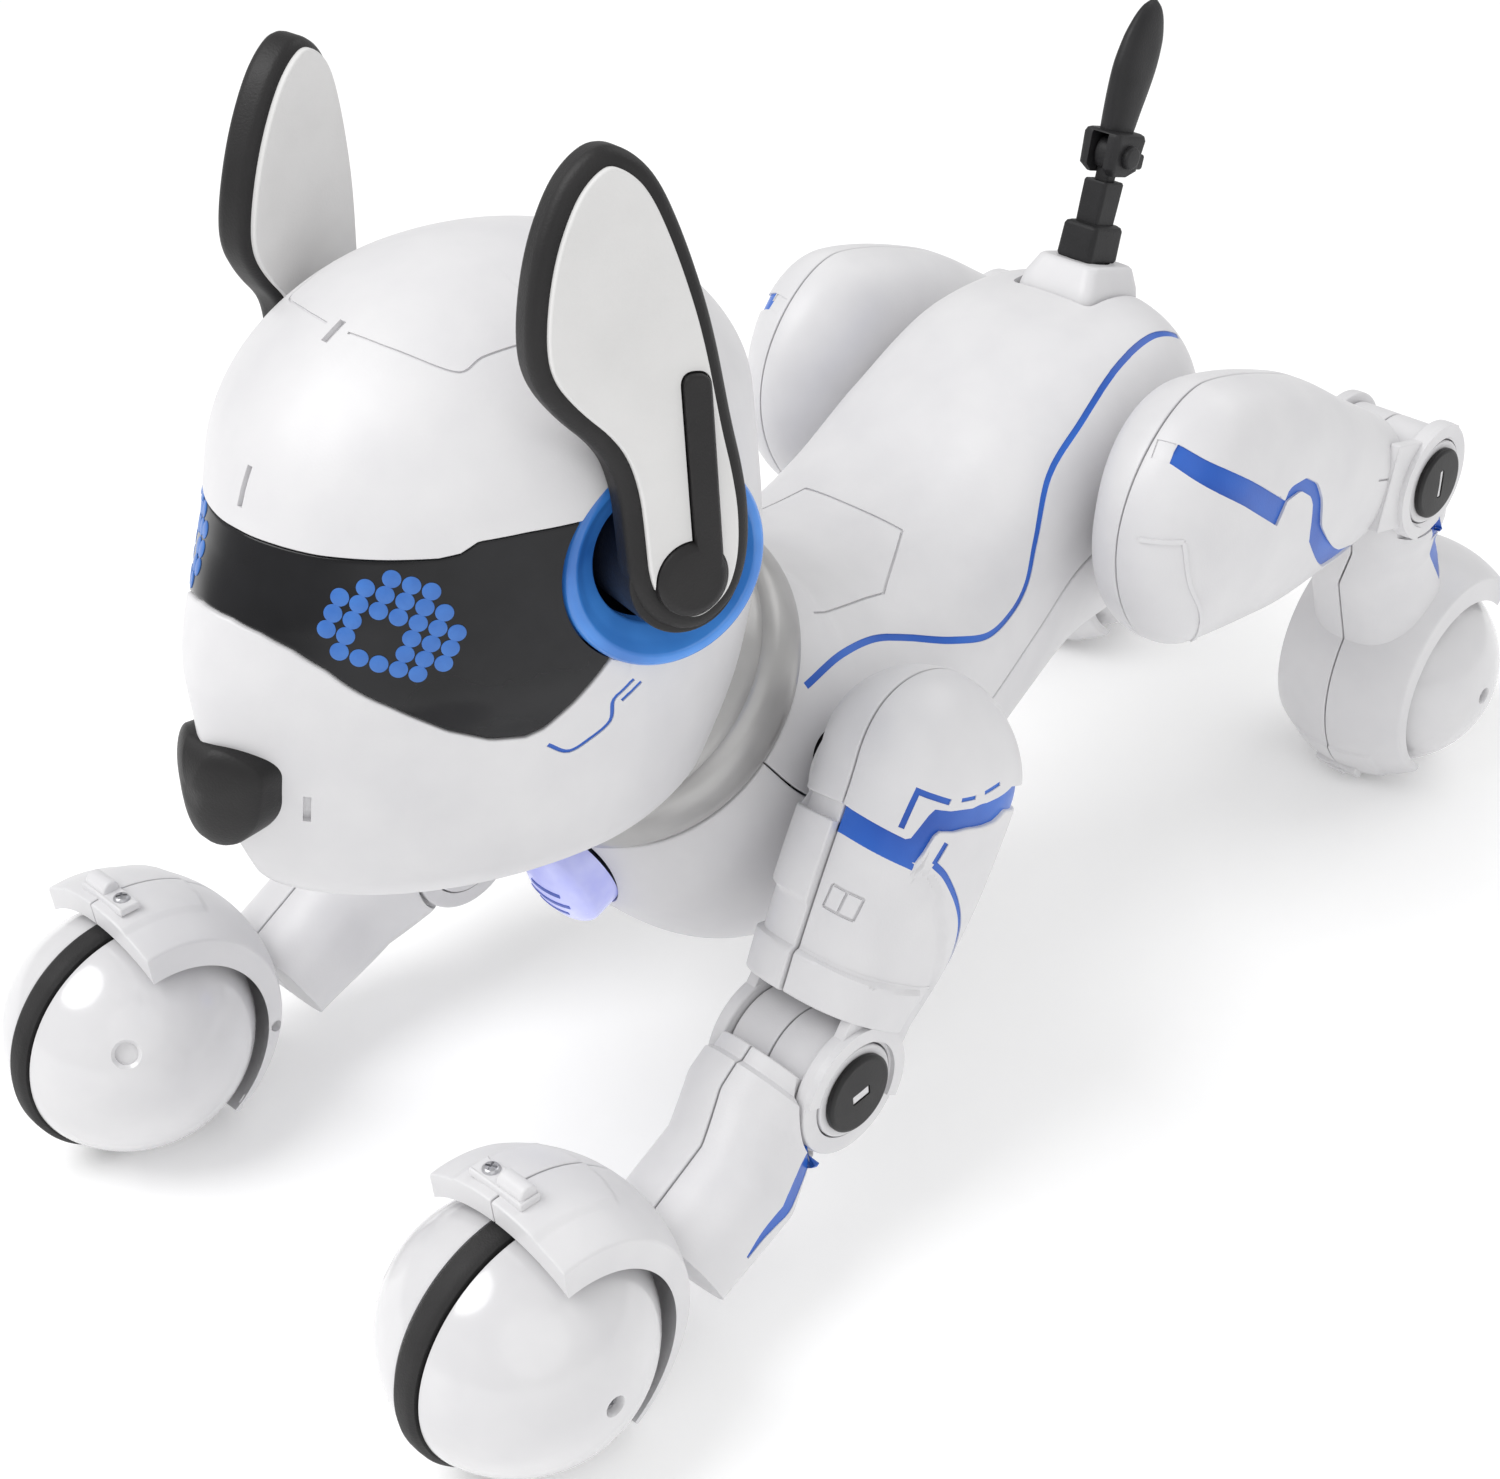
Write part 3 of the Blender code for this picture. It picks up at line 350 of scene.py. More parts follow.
def lofted(rings, place=None, caps=True):
    """A solid through closed rings of points, with a flat cap on the first and the last."""
    points = np.array(rings, float)
    points = np.concatenate([points, points[:, :1]], axis=1)
    rows, cols = points.shape[:2]
    faces = grid_faces(rows, cols).tolist()
    if caps:
        index = np.arange(rows * cols).reshape(rows, cols)
        faces += [index[0, :-1].tolist(), index[-1, :-1][::-1].tolist()]
    mesh = mesh_from(points.reshape(-1, 3), faces)
    if place:
        mesh.transform(place)
    return mesh


def as_function(value):
    return value if callable(value) else lambda where: np.full(np.shape(where), float(value))


def column_places(total, base, ends):
    """The base places fitted to a column of another length, with rims of the same size."""
    head_end, tail_start = len(RIM_SHARES) * ends[0], len(base) - len(RIM_SHARES) * ends[1]
    inner = base[head_end:tail_start]
    spread = (inner - inner[0]) / (inner[-1] - inner[0])
    low, high = RIM * ends[0], total - RIM * ends[1]
    if high <= low:
        low = high = total / 2
    return np.concatenate([
        np.minimum(base[:head_end], low),
        low + spread * (high - low),
        np.maximum(total - (base[-1] - base[tail_start:]), high),
    ])


def layer(table, at, turn, thick, domes, x_mid):
    """Points of a thickened skin, moved along the spine so that its domed ends still close."""
    moved = np.array(at)
    for dome, end, way in zip(domes, (table[0][0], table[-1][0]), (1, -1)):
        if dome:
            t = 1 + way * (end - at) / dome
            moved = np.where(t > 0, end + way * (dome - t * (dome + thick)), moved)
    return skin(table, moved, turn, thick, domes, x_mid)


def shell(table, turns, low, high, domes=(0, 0), x_mid=0.0, grow=0.0, wall=WALL, shift=0.0,
          relief=None, across_first=True, step=STEP):
    """A hollow closed piece under part of a skin.

    With across_first, low and high are places along the spine as functions of the turn.
    Without it, turns are the places along the spine, and low and high give the turn there.
    The outer face stands out of the skin by grow, shift moves the piece along X, and relief
    gives an added height over (at, turn).
    """
    low, high = as_function(low), as_function(high)
    full = across_first and turns[1] - turns[0] > 359
    sides = (not full, not full)

    def coordinates(side, along):
        return (along, side) if across_first else (side, along)

    def line(side, along):
        return skin(table, *coordinates(side, along), grow, domes, x_mid)

    fine = np.linspace(0, 1, FINE)
    spine = (table[0][0], table[-1][0])
    middle = sum(spine) / 2 if across_first else 0.0
    reach = turns[1] - turns[0]
    share, side_at, side_total = resampled(line(turns[0] + reach * fine, middle), sides, step)
    side = turns[0] + reach * share
    ranges = list(zip(low(side), high(side)))
    ends = [
        not (across_first and dome and abs(value - end) < 1e-6)
        for dome, value, end in zip(domes, ranges[0], spine)
    ]
    longest = max(
        arc_length(line(place, a + (b - a) * fine[::3]))[-1]
        for place, (a, b) in zip(side, ranges)
    )
    base = line_places(longest, ends, step)
    columns, distances, totals = [], [], []
    for place, (a, b) in zip(side, ranges):
        along = np.linspace(a, b, 400)
        length = arc_length(line(place, along))
        totals.append(max(length[-1], 1e-3))
        distances.append(column_places(totals[-1], base, ends))
        columns.append(np.interp(distances[-1], length, along))
    along, distance = np.array(columns).T, np.array(distances).T
    at, turn = coordinates(np.broadcast_to(side, along.shape), along)
    drop = rims_drop(distance, np.array(totals), ends) + rims_drop(side_at, side_total, sides)
    lift = relief(at, turn) if relief else np.zeros(at.shape)
    points = np.stack([
        layer(table, at, turn, grow + lift - drop, domes, x_mid),
        layer(table, at, turn, grow - wall + np.minimum(lift, 0), domes, x_mid),
    ])
    points[..., 0] += shift
    if full:
        points[:, :, -1] = points[:, :, 0]
    rows, cols = at.shape
    number = rows * cols
    index = np.arange(number).reshape(rows, cols)
    borders = [index[0]] * ends[0] + [index[-1]] * ends[1]
    if not full:
        borders += [index[:, 0], index[:, -1]]
    faces = [grid_faces(rows, cols), grid_faces(rows, cols, number, True)]
    for border in borders:
        pairs = [border[:-1], border[1:], border[1:] + number, border[:-1] + number]
        faces.append(np.stack(pairs, -1))
    return mesh_from(points.reshape(-1, 3), np.vstack(faces).tolist(), len(faces[0]))


def half_limb(table, half, x_mid, shift, relief=None, flip=False):
    """A closed solid under half of a skin, flat on the plane between the two halves."""
    turns = TURNS[half]
    line = skin(table, table[1][0], np.linspace(*turns, FINE), x_mid=x_mid)
    share, places, total = resampled(line, BOTH, STEP)
    length = table[-1][0] - table[0][0]
    rims = (not flip, flip)
    along = line_places(length, rims)
    at, turn = np.meshgrid(
        table[0][0] + along, turns[0] + (turns[1] - turns[0]) * share, indexing="ij"
    )
    drop = rims_drop(places, total, BOTH)[None, :] + rims_drop(along, length, rims)[:, None]
    lift = relief(at, turn) if relief else 0
    points = skin(table, at, turn, lift - drop, (0, 0), x_mid)
    points[..., 0] += shift
    return lofted(points)


# ---------------------------------------------------------------- plain solids


def axis_frame(origin, axis, up=(0, 0, 1)):
    """A matrix whose Z is the axis and whose Y leans towards up."""
    z = Vector(axis).normalized()
    x = Vector(up).cross(z).normalized()
    y = z.cross(x)
    made = Matrix((x, y, z)).transposed().to_4x4()
    made.translation = Vector(origin)
    return made


def rounded(points, radius, closed=False, steps=4):
    """The polyline with its corners rounded."""
    points = [np.array(p, float) for p in points]
    result = []
    count = len(points)
    for k, p in enumerate(points):
        if not closed and k in (0, count - 1):
            result.append(p)
            continue
        before, after = points[k - 1], points[(k + 1) % count]
        a, b = before - p, after - p
        la, lb = np.linalg.norm(a), np.linalg.norm(b)
        d = min(radius, la * 0.48, lb * 0.48)
        start, end = p + a / la * d, p + b / lb * d
        for t in np.linspace(0, 1, steps + 1):
            result.append((1 - t) ** 2 * start + 2 * t * (1 - t) * p + t**2 * end)
    return result


def turned(profile, place, segments=64, radius=0.0, ring=False):
    """A closed solid turned about a frame's Z from (radius, height) points."""
    if radius:
        profile = rounded(profile, radius, closed=ring)
    profile = np.array(profile, float)
    if ring:
        profile = np.vstack([profile, profile[:1]])
    angles = np.linspace(0, 2 * math.pi, segments + 1)[:-1]
    across, height = profile[:, 0][:, None], profile[:, 1][:, None]
    x, y = across * np.cos(angles), across * np.sin(angles)
    return lofted(np.stack([x, y, np.broadcast_to(height, x.shape)], -1), place, caps=False)


def drum(radius, low, high, place, segments=64, edge=0.0):
    """A cylinder between two heights along a frame's Z."""
    return turned(((0, low), (radius, low), (radius, high), (0, high)), place, segments, edge)


def rod(centre, low, high, radius, edge=0.3, sign=1):
    """A cylinder along X between two distances from a centre, with rounded edges."""
    half = (high - low) / 2
    place = axis_frame((centre[0] + sign * (low + high) / 2, centre[1], centre[2]), (1, 0, 0))
    return drum(radius, -half, half, place, edge=edge)


def inset(outline, distance):
    """A closed (x, y) outline moved inwards."""
    points = np.array(outline, float)
    before, after = np.roll(points, 1, axis=0), np.roll(points, -1, axis=0)
    area = (points[:, 0] * after[:, 1] - after[:, 0] * points[:, 1]).sum()
    tangent = after - before
    tangent /= np.linalg.norm(tangent, axis=1)[:, None]
    normal = np.stack([-tangent[:, 1], tangent[:, 0]], -1) * np.sign(area)
    a, b = points - before, after - points
    a /= np.linalg.norm(a, axis=1)[:, None]
    b /= np.linalg.norm(b, axis=1)[:, None]
    half_cos = np.sqrt(np.clip((1 + (a * b).sum(1)) / 2, 0.3, 1))
    return points + normal * (distance / half_cos)[:, None]


def plate(outline, place, low, high, edge=0.3):
    """A flat plate of an outline between two depths along a frame's Z, with rounded edges."""
    outline = np.array(outline, float)
    angles = np.radians((0, 22, 45, 67, 90))
    steps = [(edge * (1 - math.sin(a)), low + edge * (1 - math.cos(a))) for a in angles]
    steps += [(edge * (1 - math.cos(a)), high - edge * (1 - math.sin(a))) for a in angles]
    rings = []
    for distance, height in steps:
        ring = inset(outline, distance) if distance > 1e-6 else outline
        rings.append(np.column_stack([ring, np.full(len(ring), height)]))
    return lofted(rings, place)


def rectangle(half_x, half_y, corner, steps=4):
    corners = [(-half_x, -half_y), (half_x, -half_y), (half_x, half_y), (-half_x, half_y)]
    return rounded(corners, corner, closed=True, steps=steps)


def block(size, place, edge=0.4, corner=None):
    """A box of a size, centred on a frame, with rounded edges and corners."""
    x, y, z = (s / 2 for s in size)
    return plate(rectangle(x, y, corner or edge), place, -z, z, min(edge, z * 0.9))


def shifted(place, x, y, z):
    return place @ Matrix.Translation((x, y, z))


def arc(radius, low, high, steps):
    """(radius, height) points on a circle about the origin, angles from the equator."""
    angles = np.radians(np.linspace(low, high, steps + 1))
    return [(radius * math.cos(a), radius * math.sin(a)) for a in angles]


def square_loft(place, rows, corner):
    """A closed loft of rounded rectangles: (height, half x, half y, y shift) rows."""
    rings = []
    for height, half_x, half_y, y_shift in rows:
        ring = rectangle(half_x, half_y, min(half_x, half_y) * corner, steps=6)
        rings.append([(x, y + y_shift, height) for x, y in ring])
    return lofted(rings, place)


def oval_loft(place, rows, power=2.4, count=72):
    """A closed loft of ovals: (height, half x, half y, y shift) rows."""
    angles = np.linspace(0, 2 * math.pi, count + 1)[:-1]
    rings = []
    for height, half_x, half_y, y_shift in rows:
        x = signed_power(np.cos(angles), 2 / power) * half_x
        y = signed_power(np.sin(angles), 2 / power) * half_y + y_shift
        rings.append(np.column_stack([x, y, np.full(count, height)]))
    return lofted(rings, place)


def smooth_rows(rows, count):
    """More rows through the given ones, first column as the place."""
    heights = np.linspace(rows[0][0], rows[-1][0], count)
    return np.column_stack([heights, *hermite(rows, heights)])


def joined(meshes):
    bm = bmesh.new()
    for mesh in meshes:
        bm.from_mesh(mesh)
    made = bpy.data.meshes.new("joined")
    bm.to_mesh(made)
    bm.free()
    return made


def mirrored(mesh):
    made = mesh.copy()
    made.transform(MIRROR)
    made.flip_normals()
    return made


def new_object(name, data):
    obj = bpy.data.objects.new(name, data)
    bpy.context.scene.collection.objects.link(obj)
    return obj


def combined(base, others, operation="DIFFERENCE"):
    """The base after a Boolean with each of the others, all of them closed meshes."""
    if not others:
        return base
    host = new_object("host", base)
    helpers = []
    for other in others:
        helpers.append(new_object("helper", other))
        modifier = host.modifiers.new("cut", "BOOLEAN")
        modifier.operation = operation
        modifier.object = helpers[-1]
        modifier.solver = "MANIFOLD"
    graph = bpy.context.evaluated_depsgraph_get()
    made = bpy.data.meshes.new_from_object(host.evaluated_get(graph))
    for helper in helpers + [host]:
        bpy.data.objects.remove(helper, do_unlink=True)
    if len(made.polygons) < 4:
        raise RuntimeError("a Boolean removed everything")
    return made


def united(base, others):
    return combined(base, others, "UNION")


# ---------------------------------------------------------------- lines on a surface


def smooth_path(points, step=0.7):
    """A curve through points, resampled evenly."""
    p = np.array(points, float)
    p = np.vstack([2 * p[0] - p[1], p, 2 * p[-1] - p[-2]])
    out = []
    for i in range(1, len(p) - 2):
        u = np.linspace(0, 1, 13)[:-1, None]
        a, b, c, d = p[i - 1], p[i], p[i + 1], p[i + 2]
        out.append(0.5 * (2 * b + (c - a) * u + (2 * a - 5 * b + 4 * c - d) * u**2
                          + (3 * b - a - 3 * c + d) * u**3))
    out.append(p[-2][None, :])
    return even_path(np.vstack(out), step)


def even_path(points, step=0.7):
    points = np.array(points, float)
    length = arc_length(points)
    count = max(2, int(round(length[-1] / step)))
    wanted = np.linspace(0, length[-1], count + 1)
    return np.stack([np.interp(wanted, length, points[:, k]) for k in range(3)], -1)


def corner_path(points, step=0.7):
    """A path with straight runs that keeps its corners."""
    runs = [even_path(points[k:k + 2], step) for k in range(len(points) - 1)]
    return np.vstack([run[:-1] for run in runs] + [np.array(points[-1], float)[None, :]])


class Surface:
    """Finds the nearest point of a mesh, and its normal."""

    def __init__(self, mesh):
        bm = bmesh.new()
        bm.from_mesh(mesh)
        inner = [face for face in bm.faces if face.material_index]
        bmesh.ops.delete(bm, geom=inner, context="FACES")
        self.tree = BVHTree.FromBMesh(bm)
        bm.free()

    def snap(self, points):
        found = [self.tree.find_nearest(Vector(p)) for p in points]
        places = np.array([tuple(hit[0]) for hit in found])
        normals = np.array([tuple(hit[1]) for hit in found])
        for _ in range(3):
            padded = np.vstack([normals[:1], normals, normals[-1:]])
            normals = padded[:-2] + padded[1:-1] * 2 + padded[2:]
            normals /= np.linalg.norm(normals, axis=1)[:, None]
        return places, normals


def ribbon(places, normals, width, top, bottom):
    """A closed strip along a path, between two heights over the surface."""
    width = np.broadcast_to(np.asarray(width, float), (len(places),))
    run = np.diff(places, axis=0)
    run /= np.linalg.norm(run, axis=1)[:, None]
    before, after = np.vstack([run[:1], run]), np.vstack([run, run[-1:]])
    tangent = before + after
    tangent /= np.linalg.norm(tangent, axis=1)[:, None]
    side = np.cross(normals, tangent)
    side /= np.linalg.norm(side, axis=1)[:, None]
    mitre = 1 / np.clip((tangent * before).sum(1), 0.5, 1)
    half = side * (width / 2 * mitre)[:, None]
    loops = np.stack([
        places + half + normals * top, places - half + normals * top,
        places - half + normals * bottom, places + half + normals * bottom,
    ], axis=1)
    return lofted(loops)


class Lines:
    """Grooves, inlays and ridges on one surface."""

    def __init__(self, mesh):
        self.surface = Surface(mesh)
        self.cuts, self.inserts, self.ridges = [], [], []

    def path(self, points, smooth):
        return self.surface.snap(smooth_path(points) if smooth else corner_path(points))

    def groove(self, points, width=0.4, depth=0.6, smooth=False):
        self.cuts.append(ribbon(*self.path(points, smooth), width, 0.8, -depth))

    def inlay(self, points, width=1.0, depth=0.7, smooth=True, taper=None, top=-0.22):
        places, normals = self.path(points, smooth)
        taper = taper or (width, width)
        shares = np.linspace(0, len(taper) - 1, len(places))
        widths = np.interp(shares, np.arange(len(taper)), taper)
        self.cuts.append(ribbon(places, normals, widths, 0.8, -depth))
        self.inserts.append(ribbon(places, normals, widths + 0.04, top, -depth - 0.2))

    def ridge(self, points, width=0.7, height=0.35, smooth=False):
        self.ridges.append(ribbon(*self.path(points, smooth), width, height, -0.5))


def flipped_x(points):
    return [(-x, y, z) for x, y, z in points]


# ---------------------------------------------------------------- materials


def node_material(name):
    made = bpy.data.materials.new(name)
    made.use_nodes = True
    tree = made.node_tree
    return made, tree, tree.nodes["Principled BSDF"]


def noise_at(tree, coordinates, scale, detail=2.0, roughness=0.5):
    noise = tree.nodes.new("ShaderNodeTexNoise")
    noise.inputs["Scale"].default_value = scale
    noise.inputs["Detail"].default_value = detail
    noise.inputs["Roughness"].default_value = roughness
    tree.links.new(coordinates, noise.inputs["Vector"])
    return noise.outputs["Fac"]


def ramp(tree, value, stops):
    made = tree.nodes.new("ShaderNodeValToRGB")
    elements = made.color_ramp.elements
    elements[0].position, elements[0].color = stops[0][0], (*stops[0][1], 1)
    elements[1].position, elements[1].color = stops[-1][0], (*stops[-1][1], 1)
    for place, color in stops[1:-1]:
        elements.new(place).color = (*color, 1)
    tree.links.new(value, made.inputs["Fac"])
    return made.outputs["Color"]


def ranged(tree, value, low, high):
    made = tree.nodes.new("ShaderNodeMapRange")
    made.inputs["To Min"].default_value = low
    made.inputs["To Max"].default_value = high
    tree.links.new(value, made.inputs["Value"])
    return made.outputs["Result"]


MATERIALS = {}


def moulded(name, dark, light, roughness, grain=2600, bump=0.02, coat=0.0, metallic=0.0,
            specular=0.5, blotch=70, emission=None, strength=0.0):
    """Moulded plastic or rubber: faint colour clouds, varied gloss and a fine surface grain."""
    made, tree, shader = node_material(name)
    where = tree.nodes.new("ShaderNodeTexCoord").outputs["Object"]
    clouds = noise_at(tree, where, blotch, 3)
    color = ramp(tree, clouds, ((0.3, dark), (0.7, light)))
    tree.links.new(color, shader.inputs["Base Color"])
    patches = noise_at(tree, where, blotch * 2.7, 4)
    tree.links.new(ranged(tree, patches, *roughness), shader.inputs["Roughness"])
    fine = noise_at(tree, where, grain, 2)
    bumps = tree.nodes.new("ShaderNodeBump")
    bumps.inputs["Strength"].default_value = bump
    bumps.inputs["Distance"].default_value = 0.0004
    tree.links.new(fine, bumps.inputs["Height"])
    tree.links.new(bumps.outputs["Normal"], shader.inputs["Normal"])
    shader.inputs["Metallic"].default_value = metallic
    shader.inputs["Specular IOR Level"].default_value = specular
    shader.inputs["Coat Weight"].default_value = coat
    shader.inputs["Coat Roughness"].default_value = 0.08
    # Emission: the eye lamps glow for real; on the blue inlays, the chest lens and the ear ring it is
    # a painted glow, as no lamp is in them
    if emission:
        glow = ramp(tree, clouds, ((0.25, emission[0]), (0.75, emission[1])))
        tree.links.new(glow, shader.inputs["Emission Color"])
        shader.inputs["Emission Strength"].default_value = strength
    MATERIALS[name] = made


# Each with its darker and lighter colour and its range of roughness.
moulded("white_shell", (0.69, 0.685, 0.70), (0.74, 0.735, 0.745), (0.34, 0.46), bump=0.05)
moulded("ball_shell", (0.68, 0.675, 0.69), (0.73, 0.725, 0.735), (0.12, 0.2), coat=0.4)
moulded("tyre_rubber", (0.018, 0.0175, 0.018), (0.030, 0.029, 0.0295), (0.55, 0.75),
        bump=0.25, specular=0.35)
moulded("black_plastic", (0.009, 0.0085, 0.009), (0.016, 0.0155, 0.016), (0.38, 0.5),
        bump=0.1, specular=0.35)
moulded("black_rim", (0.010, 0.0095, 0.010), (0.018, 0.017, 0.0175), (0.42, 0.56),
        bump=0.16, specular=0.35)
moulded("ear_panel", (0.70, 0.695, 0.69), (0.75, 0.745, 0.74), (0.5, 0.6), bump=0.08)
# Blue inlays, bands and trims: the emission is a painted glow; no lamp is in them
moulded("blue_light", (0.01, 0.07, 0.36), (0.02, 0.13, 0.52), (0.25, 0.4), bump=0.05,
        blotch=45, emission=((0.005, 0.05, 0.4), (0.02, 0.16, 0.75)), strength=0.15)
moulded("circuit_board", (0.01, 0.12, 0.05), (0.02, 0.2, 0.08), (0.35, 0.5), bump=0.2)
moulded("speaker_steel", (0.45, 0.45, 0.47), (0.6, 0.6, 0.62), (0.25, 0.4), metallic=1.0)
# The chest lens: its emission is a painted glow; no lamp is behind it
moulded("lens_lavender", (0.45, 0.47, 0.88), (0.62, 0.64, 0.97), (0.2, 0.3), coat=0.3,
        blotch=120, emission=((0.35, 0.38, 0.9), (0.5, 0.55, 1.0)), strength=0.25)
moulded("satin_silver", (0.40, 0.395, 0.39), (0.47, 0.465, 0.46), (0.3, 0.42), metallic=0.55)
moulded("smoked_visor", (0.006, 0.006, 0.007), (0.014, 0.014, 0.016), (0.14, 0.24),
        bump=0.01, specular=0.3)
moulded("tail_rubber", (0.012, 0.012, 0.013), (0.021, 0.0205, 0.022), (0.42, 0.58),
        bump=0.14, specular=0.35)
moulded("eye_blue", (0.03, 0.13, 0.44), (0.04, 0.16, 0.5), (0.3, 0.45),
        blotch=400, emission=((0.03, 0.15, 0.5), (0.05, 0.2, 0.62)), strength=0.12)
# The ear ring: its emission is a painted glow; no lamp is in it
moulded("ring_blue", (0.02, 0.12, 0.42), (0.06, 0.26, 0.7), (0.15, 0.3), coat=0.4,
        blotch=60, emission=((0.01, 0.08, 0.4), (0.05, 0.24, 0.8)), strength=0.16)
moulded("lens_mark", (0.05, 0.1, 0.5), (0.08, 0.14, 0.6), (0.3, 0.4), blotch=300)


# ---------------------------------------------------------------- adding pieces


def add(name, mesh, finish, body, replaced=(), sharp=35):
    """Puts a finished mesh in the scene as a piece that rides a body."""
    mesh = mesh.copy()
    mesh.name = name
    mesh.transform(TO_WORLD)
    mesh.materials.clear()
    mesh.materials.append(MATERIALS[finish])
    mesh.polygons.foreach_set("material_index", np.zeros(len(mesh.polygons), np.int32))
    mesh.shade_smooth()
    mesh.set_sharp_from_angle(angle=math.radians(sharp))
    obj = new_object(name, mesh)
    normals = obj.modifiers.new("normals", "WEIGHTED_NORMAL")
    normals.keep_sharp = True
    if replaced:
        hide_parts(*replaced)
    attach(obj, body)


def add_pair(name, mesh, finish, body, replaced=()):
    """The same piece on the left and, mirrored, on the right."""
    for flank, shape in (("left", mesh), ("right", mirrored(mesh))):
        nodes = [node.replace("SIDE", flank) for node in replaced]
        add(name.replace("SIDE", flank), shape, finish, body.replace("SIDE", flank), nodes)


# ---------------------------------------------------------------- feet


def hood(wheel, sign, turns, relief):
    """Half of the hood, with a rounded lip and a raised panel."""
    x_line = line_places(HOOD_HALF_WIDTH - HALF_GAP, BOTH, HOOD_STEP) + HALF_GAP
    length = math.radians(turns[1] - turns[0]) * HOOD_OUTER_R
    around = line_places(length, BOTH, HOOD_STEP)
    x, phi = np.meshgrid(x_line, np.radians(turns[0] + (turns[1] - turns[0]) * around / length))
    drop = rim_drop(x - HALF_GAP) * 0.6 + rim_drop(HOOD_HALF_WIDTH - x)
    drop += rims_drop(around, length, BOTH)[:, None]
    outer = HOOD_OUTER_R + HOOD_RISE * np.sin(phi) - drop + relief(np.degrees(phi), x)
    radius = np.hstack([outer, np.full(outer.shape, HOOD_INNER_R)])
    x, phi = np.hstack([x, x[:, ::-1]]), np.hstack([phi, phi])
    reach = np.sqrt(radius**2 - x**2)
    return lofted(np.stack([
        wheel[0] + sign * x, wheel[1] - reach * np.cos(phi), wheel[2] + reach * np.sin(phi)
    ], -1))


def smooth_step(value, edge, width):
    t = np.clip((value - edge) / width + 0.5, 0, 1)
    return t * t * (3 - 2 * t)


def hood_relief(inside_phi, x):
    """Everything but a panel on top is sunk a little."""
    inside = inside_phi * smooth_step(PANEL_HALF_WIDTH - x, 0, 0.4)
    return PANEL_RISE * (inside - 1)


def front_hood_relief(phi, x):
    back = 122 - 0.35 * np.maximum(x - 5, 0) ** 1.2
    return hood_relief(smooth_step(back, phi, 0.8), x)


def rear_hood_relief(phi, x):
    return hood_relief(smooth_step(-26, phi, 0.8), x)


def ball_half(wheel, sign, hole, hole_r, flare, deep):
    """A glossy hemisphere that carries the axle, with a flared hole in its outer face."""
    split = TYRE_WIDTH / 2 + 0.5
    seat, sleeve_r = AXLE_R + 0.3, AXLE_R + 2.5
    low = math.degrees(math.asin(split / BALL_R))
    inner = arc(BALL_R - WALL, math.degrees(math.asin(split / (BALL_R - WALL))), 70, 12)[::-1]
    outer = arc(BALL_R, low, 90, 44)
    profile = [(0, AXLE_TIP + 0.4), (seat, AXLE_TIP + 0.4), (seat, split), (sleeve_r, split)]
    profile += [(sleeve_r, inner[0][1])] + inner[1:]
    profile += [(outer[0][0] - 0.45, outer[0][1]), (outer[0][0] - 0.1, outer[0][1] + 0.1)]
    profile += outer[1:-1] + [(0, BALL_R)]
    ball = turned(profile, axis_frame(wheel, (sign, 0, 0)), 112)
    place = axis_frame(Vector(wheel) + Vector(hole).normalized() * BALL_R, hole)
    wide = hole_r + flare
    cut = ((0, -deep), (hole_r, -deep), (hole_r, -0.7), (wide, 0.1), (wide + 0.6, 1.5), (0, 1.5))
    return combined(ball, [turned(cut, place, 40)])


def screw(place, radius=1.5):
    """A small cross-head screw whose head is on a frame's XY plane."""
    profile = ((0, -1.2), (radius, -1.2), (radius, 0.1), (radius * 0.75, 0.5), (0, 0.62))
    slots = []
    for turn in (0.5, 0.5 + math.pi / 2):
        slot_place = shifted(place, 0, 0, 0.55) @ Matrix.Rotation(turn, 4, "Z")
        slots.append(block((radius * 1.3, 0.42, 1.2), slot_place, 0.04))
    return combined(turned(profile, place, 32, 0.15), slots)


def wheel_mesh(wheel):
    """Disc, tyre and axle: the tread is crowned, with a fine groove along each shoulder."""
    half = TYRE_WIDTH / 2
    # How far in from the tread and from the side wall, from the axle to the crown
    shoulder = ((2.4, 0), (2.2, 0.25), (1.9, 0), (0.9, 0), (0.35, 0.45), (0.05, 1.1))
    side = [(0, AXLE_TIP), (AXLE_R, AXLE_TIP), (AXLE_R, half)]
    side += [(TYRE_R - down, half - across) for down, across in shoulder]
    profile = [(r, -height) for r, height in side] + [(TYRE_R, 0)] + side[::-1]
    return turned(profile, axis_frame(wheel, (1, 0, 0)), 128)


def foot(end, wheel):
    inner_hole = (-0.74, -0.45, 0.42) if end == "front" else (-1, 0, 0)
    outer = ball_half(wheel, 1, (1, 0, 0), 1.5, 0.5, 3.0)
    inner = ball_half(wheel, -1, inner_hole, 2.0, 0.9, 1.45)
    body = f"{end}_SIDE_shin"
    add_pair(f"ball_out_{end}_SIDE", outer, "ball_shell", body, [f"ball_outer_{end}_SIDE"])
    add_pair(f"ball_in_{end}_SIDE", inner, "ball_shell", body, [f"ball_inner_{end}_SIDE"])
    place = axis_frame((wheel[0] + BALL_R - 1.7, wheel[1], wheel[2]), (1, 0, 0))
    add_pair(f"hub_screw_{end}_SIDE", screw(place, 1.3), "speaker_steel", body)
    add_pair(f"tyre_{end}_SIDE", wheel_mesh(wheel), "tyre_rubber", f"{end}_SIDE_wheel",
             [f"wheel_{end}_SIDE"])


# ---------------------------------------------------------------- legs


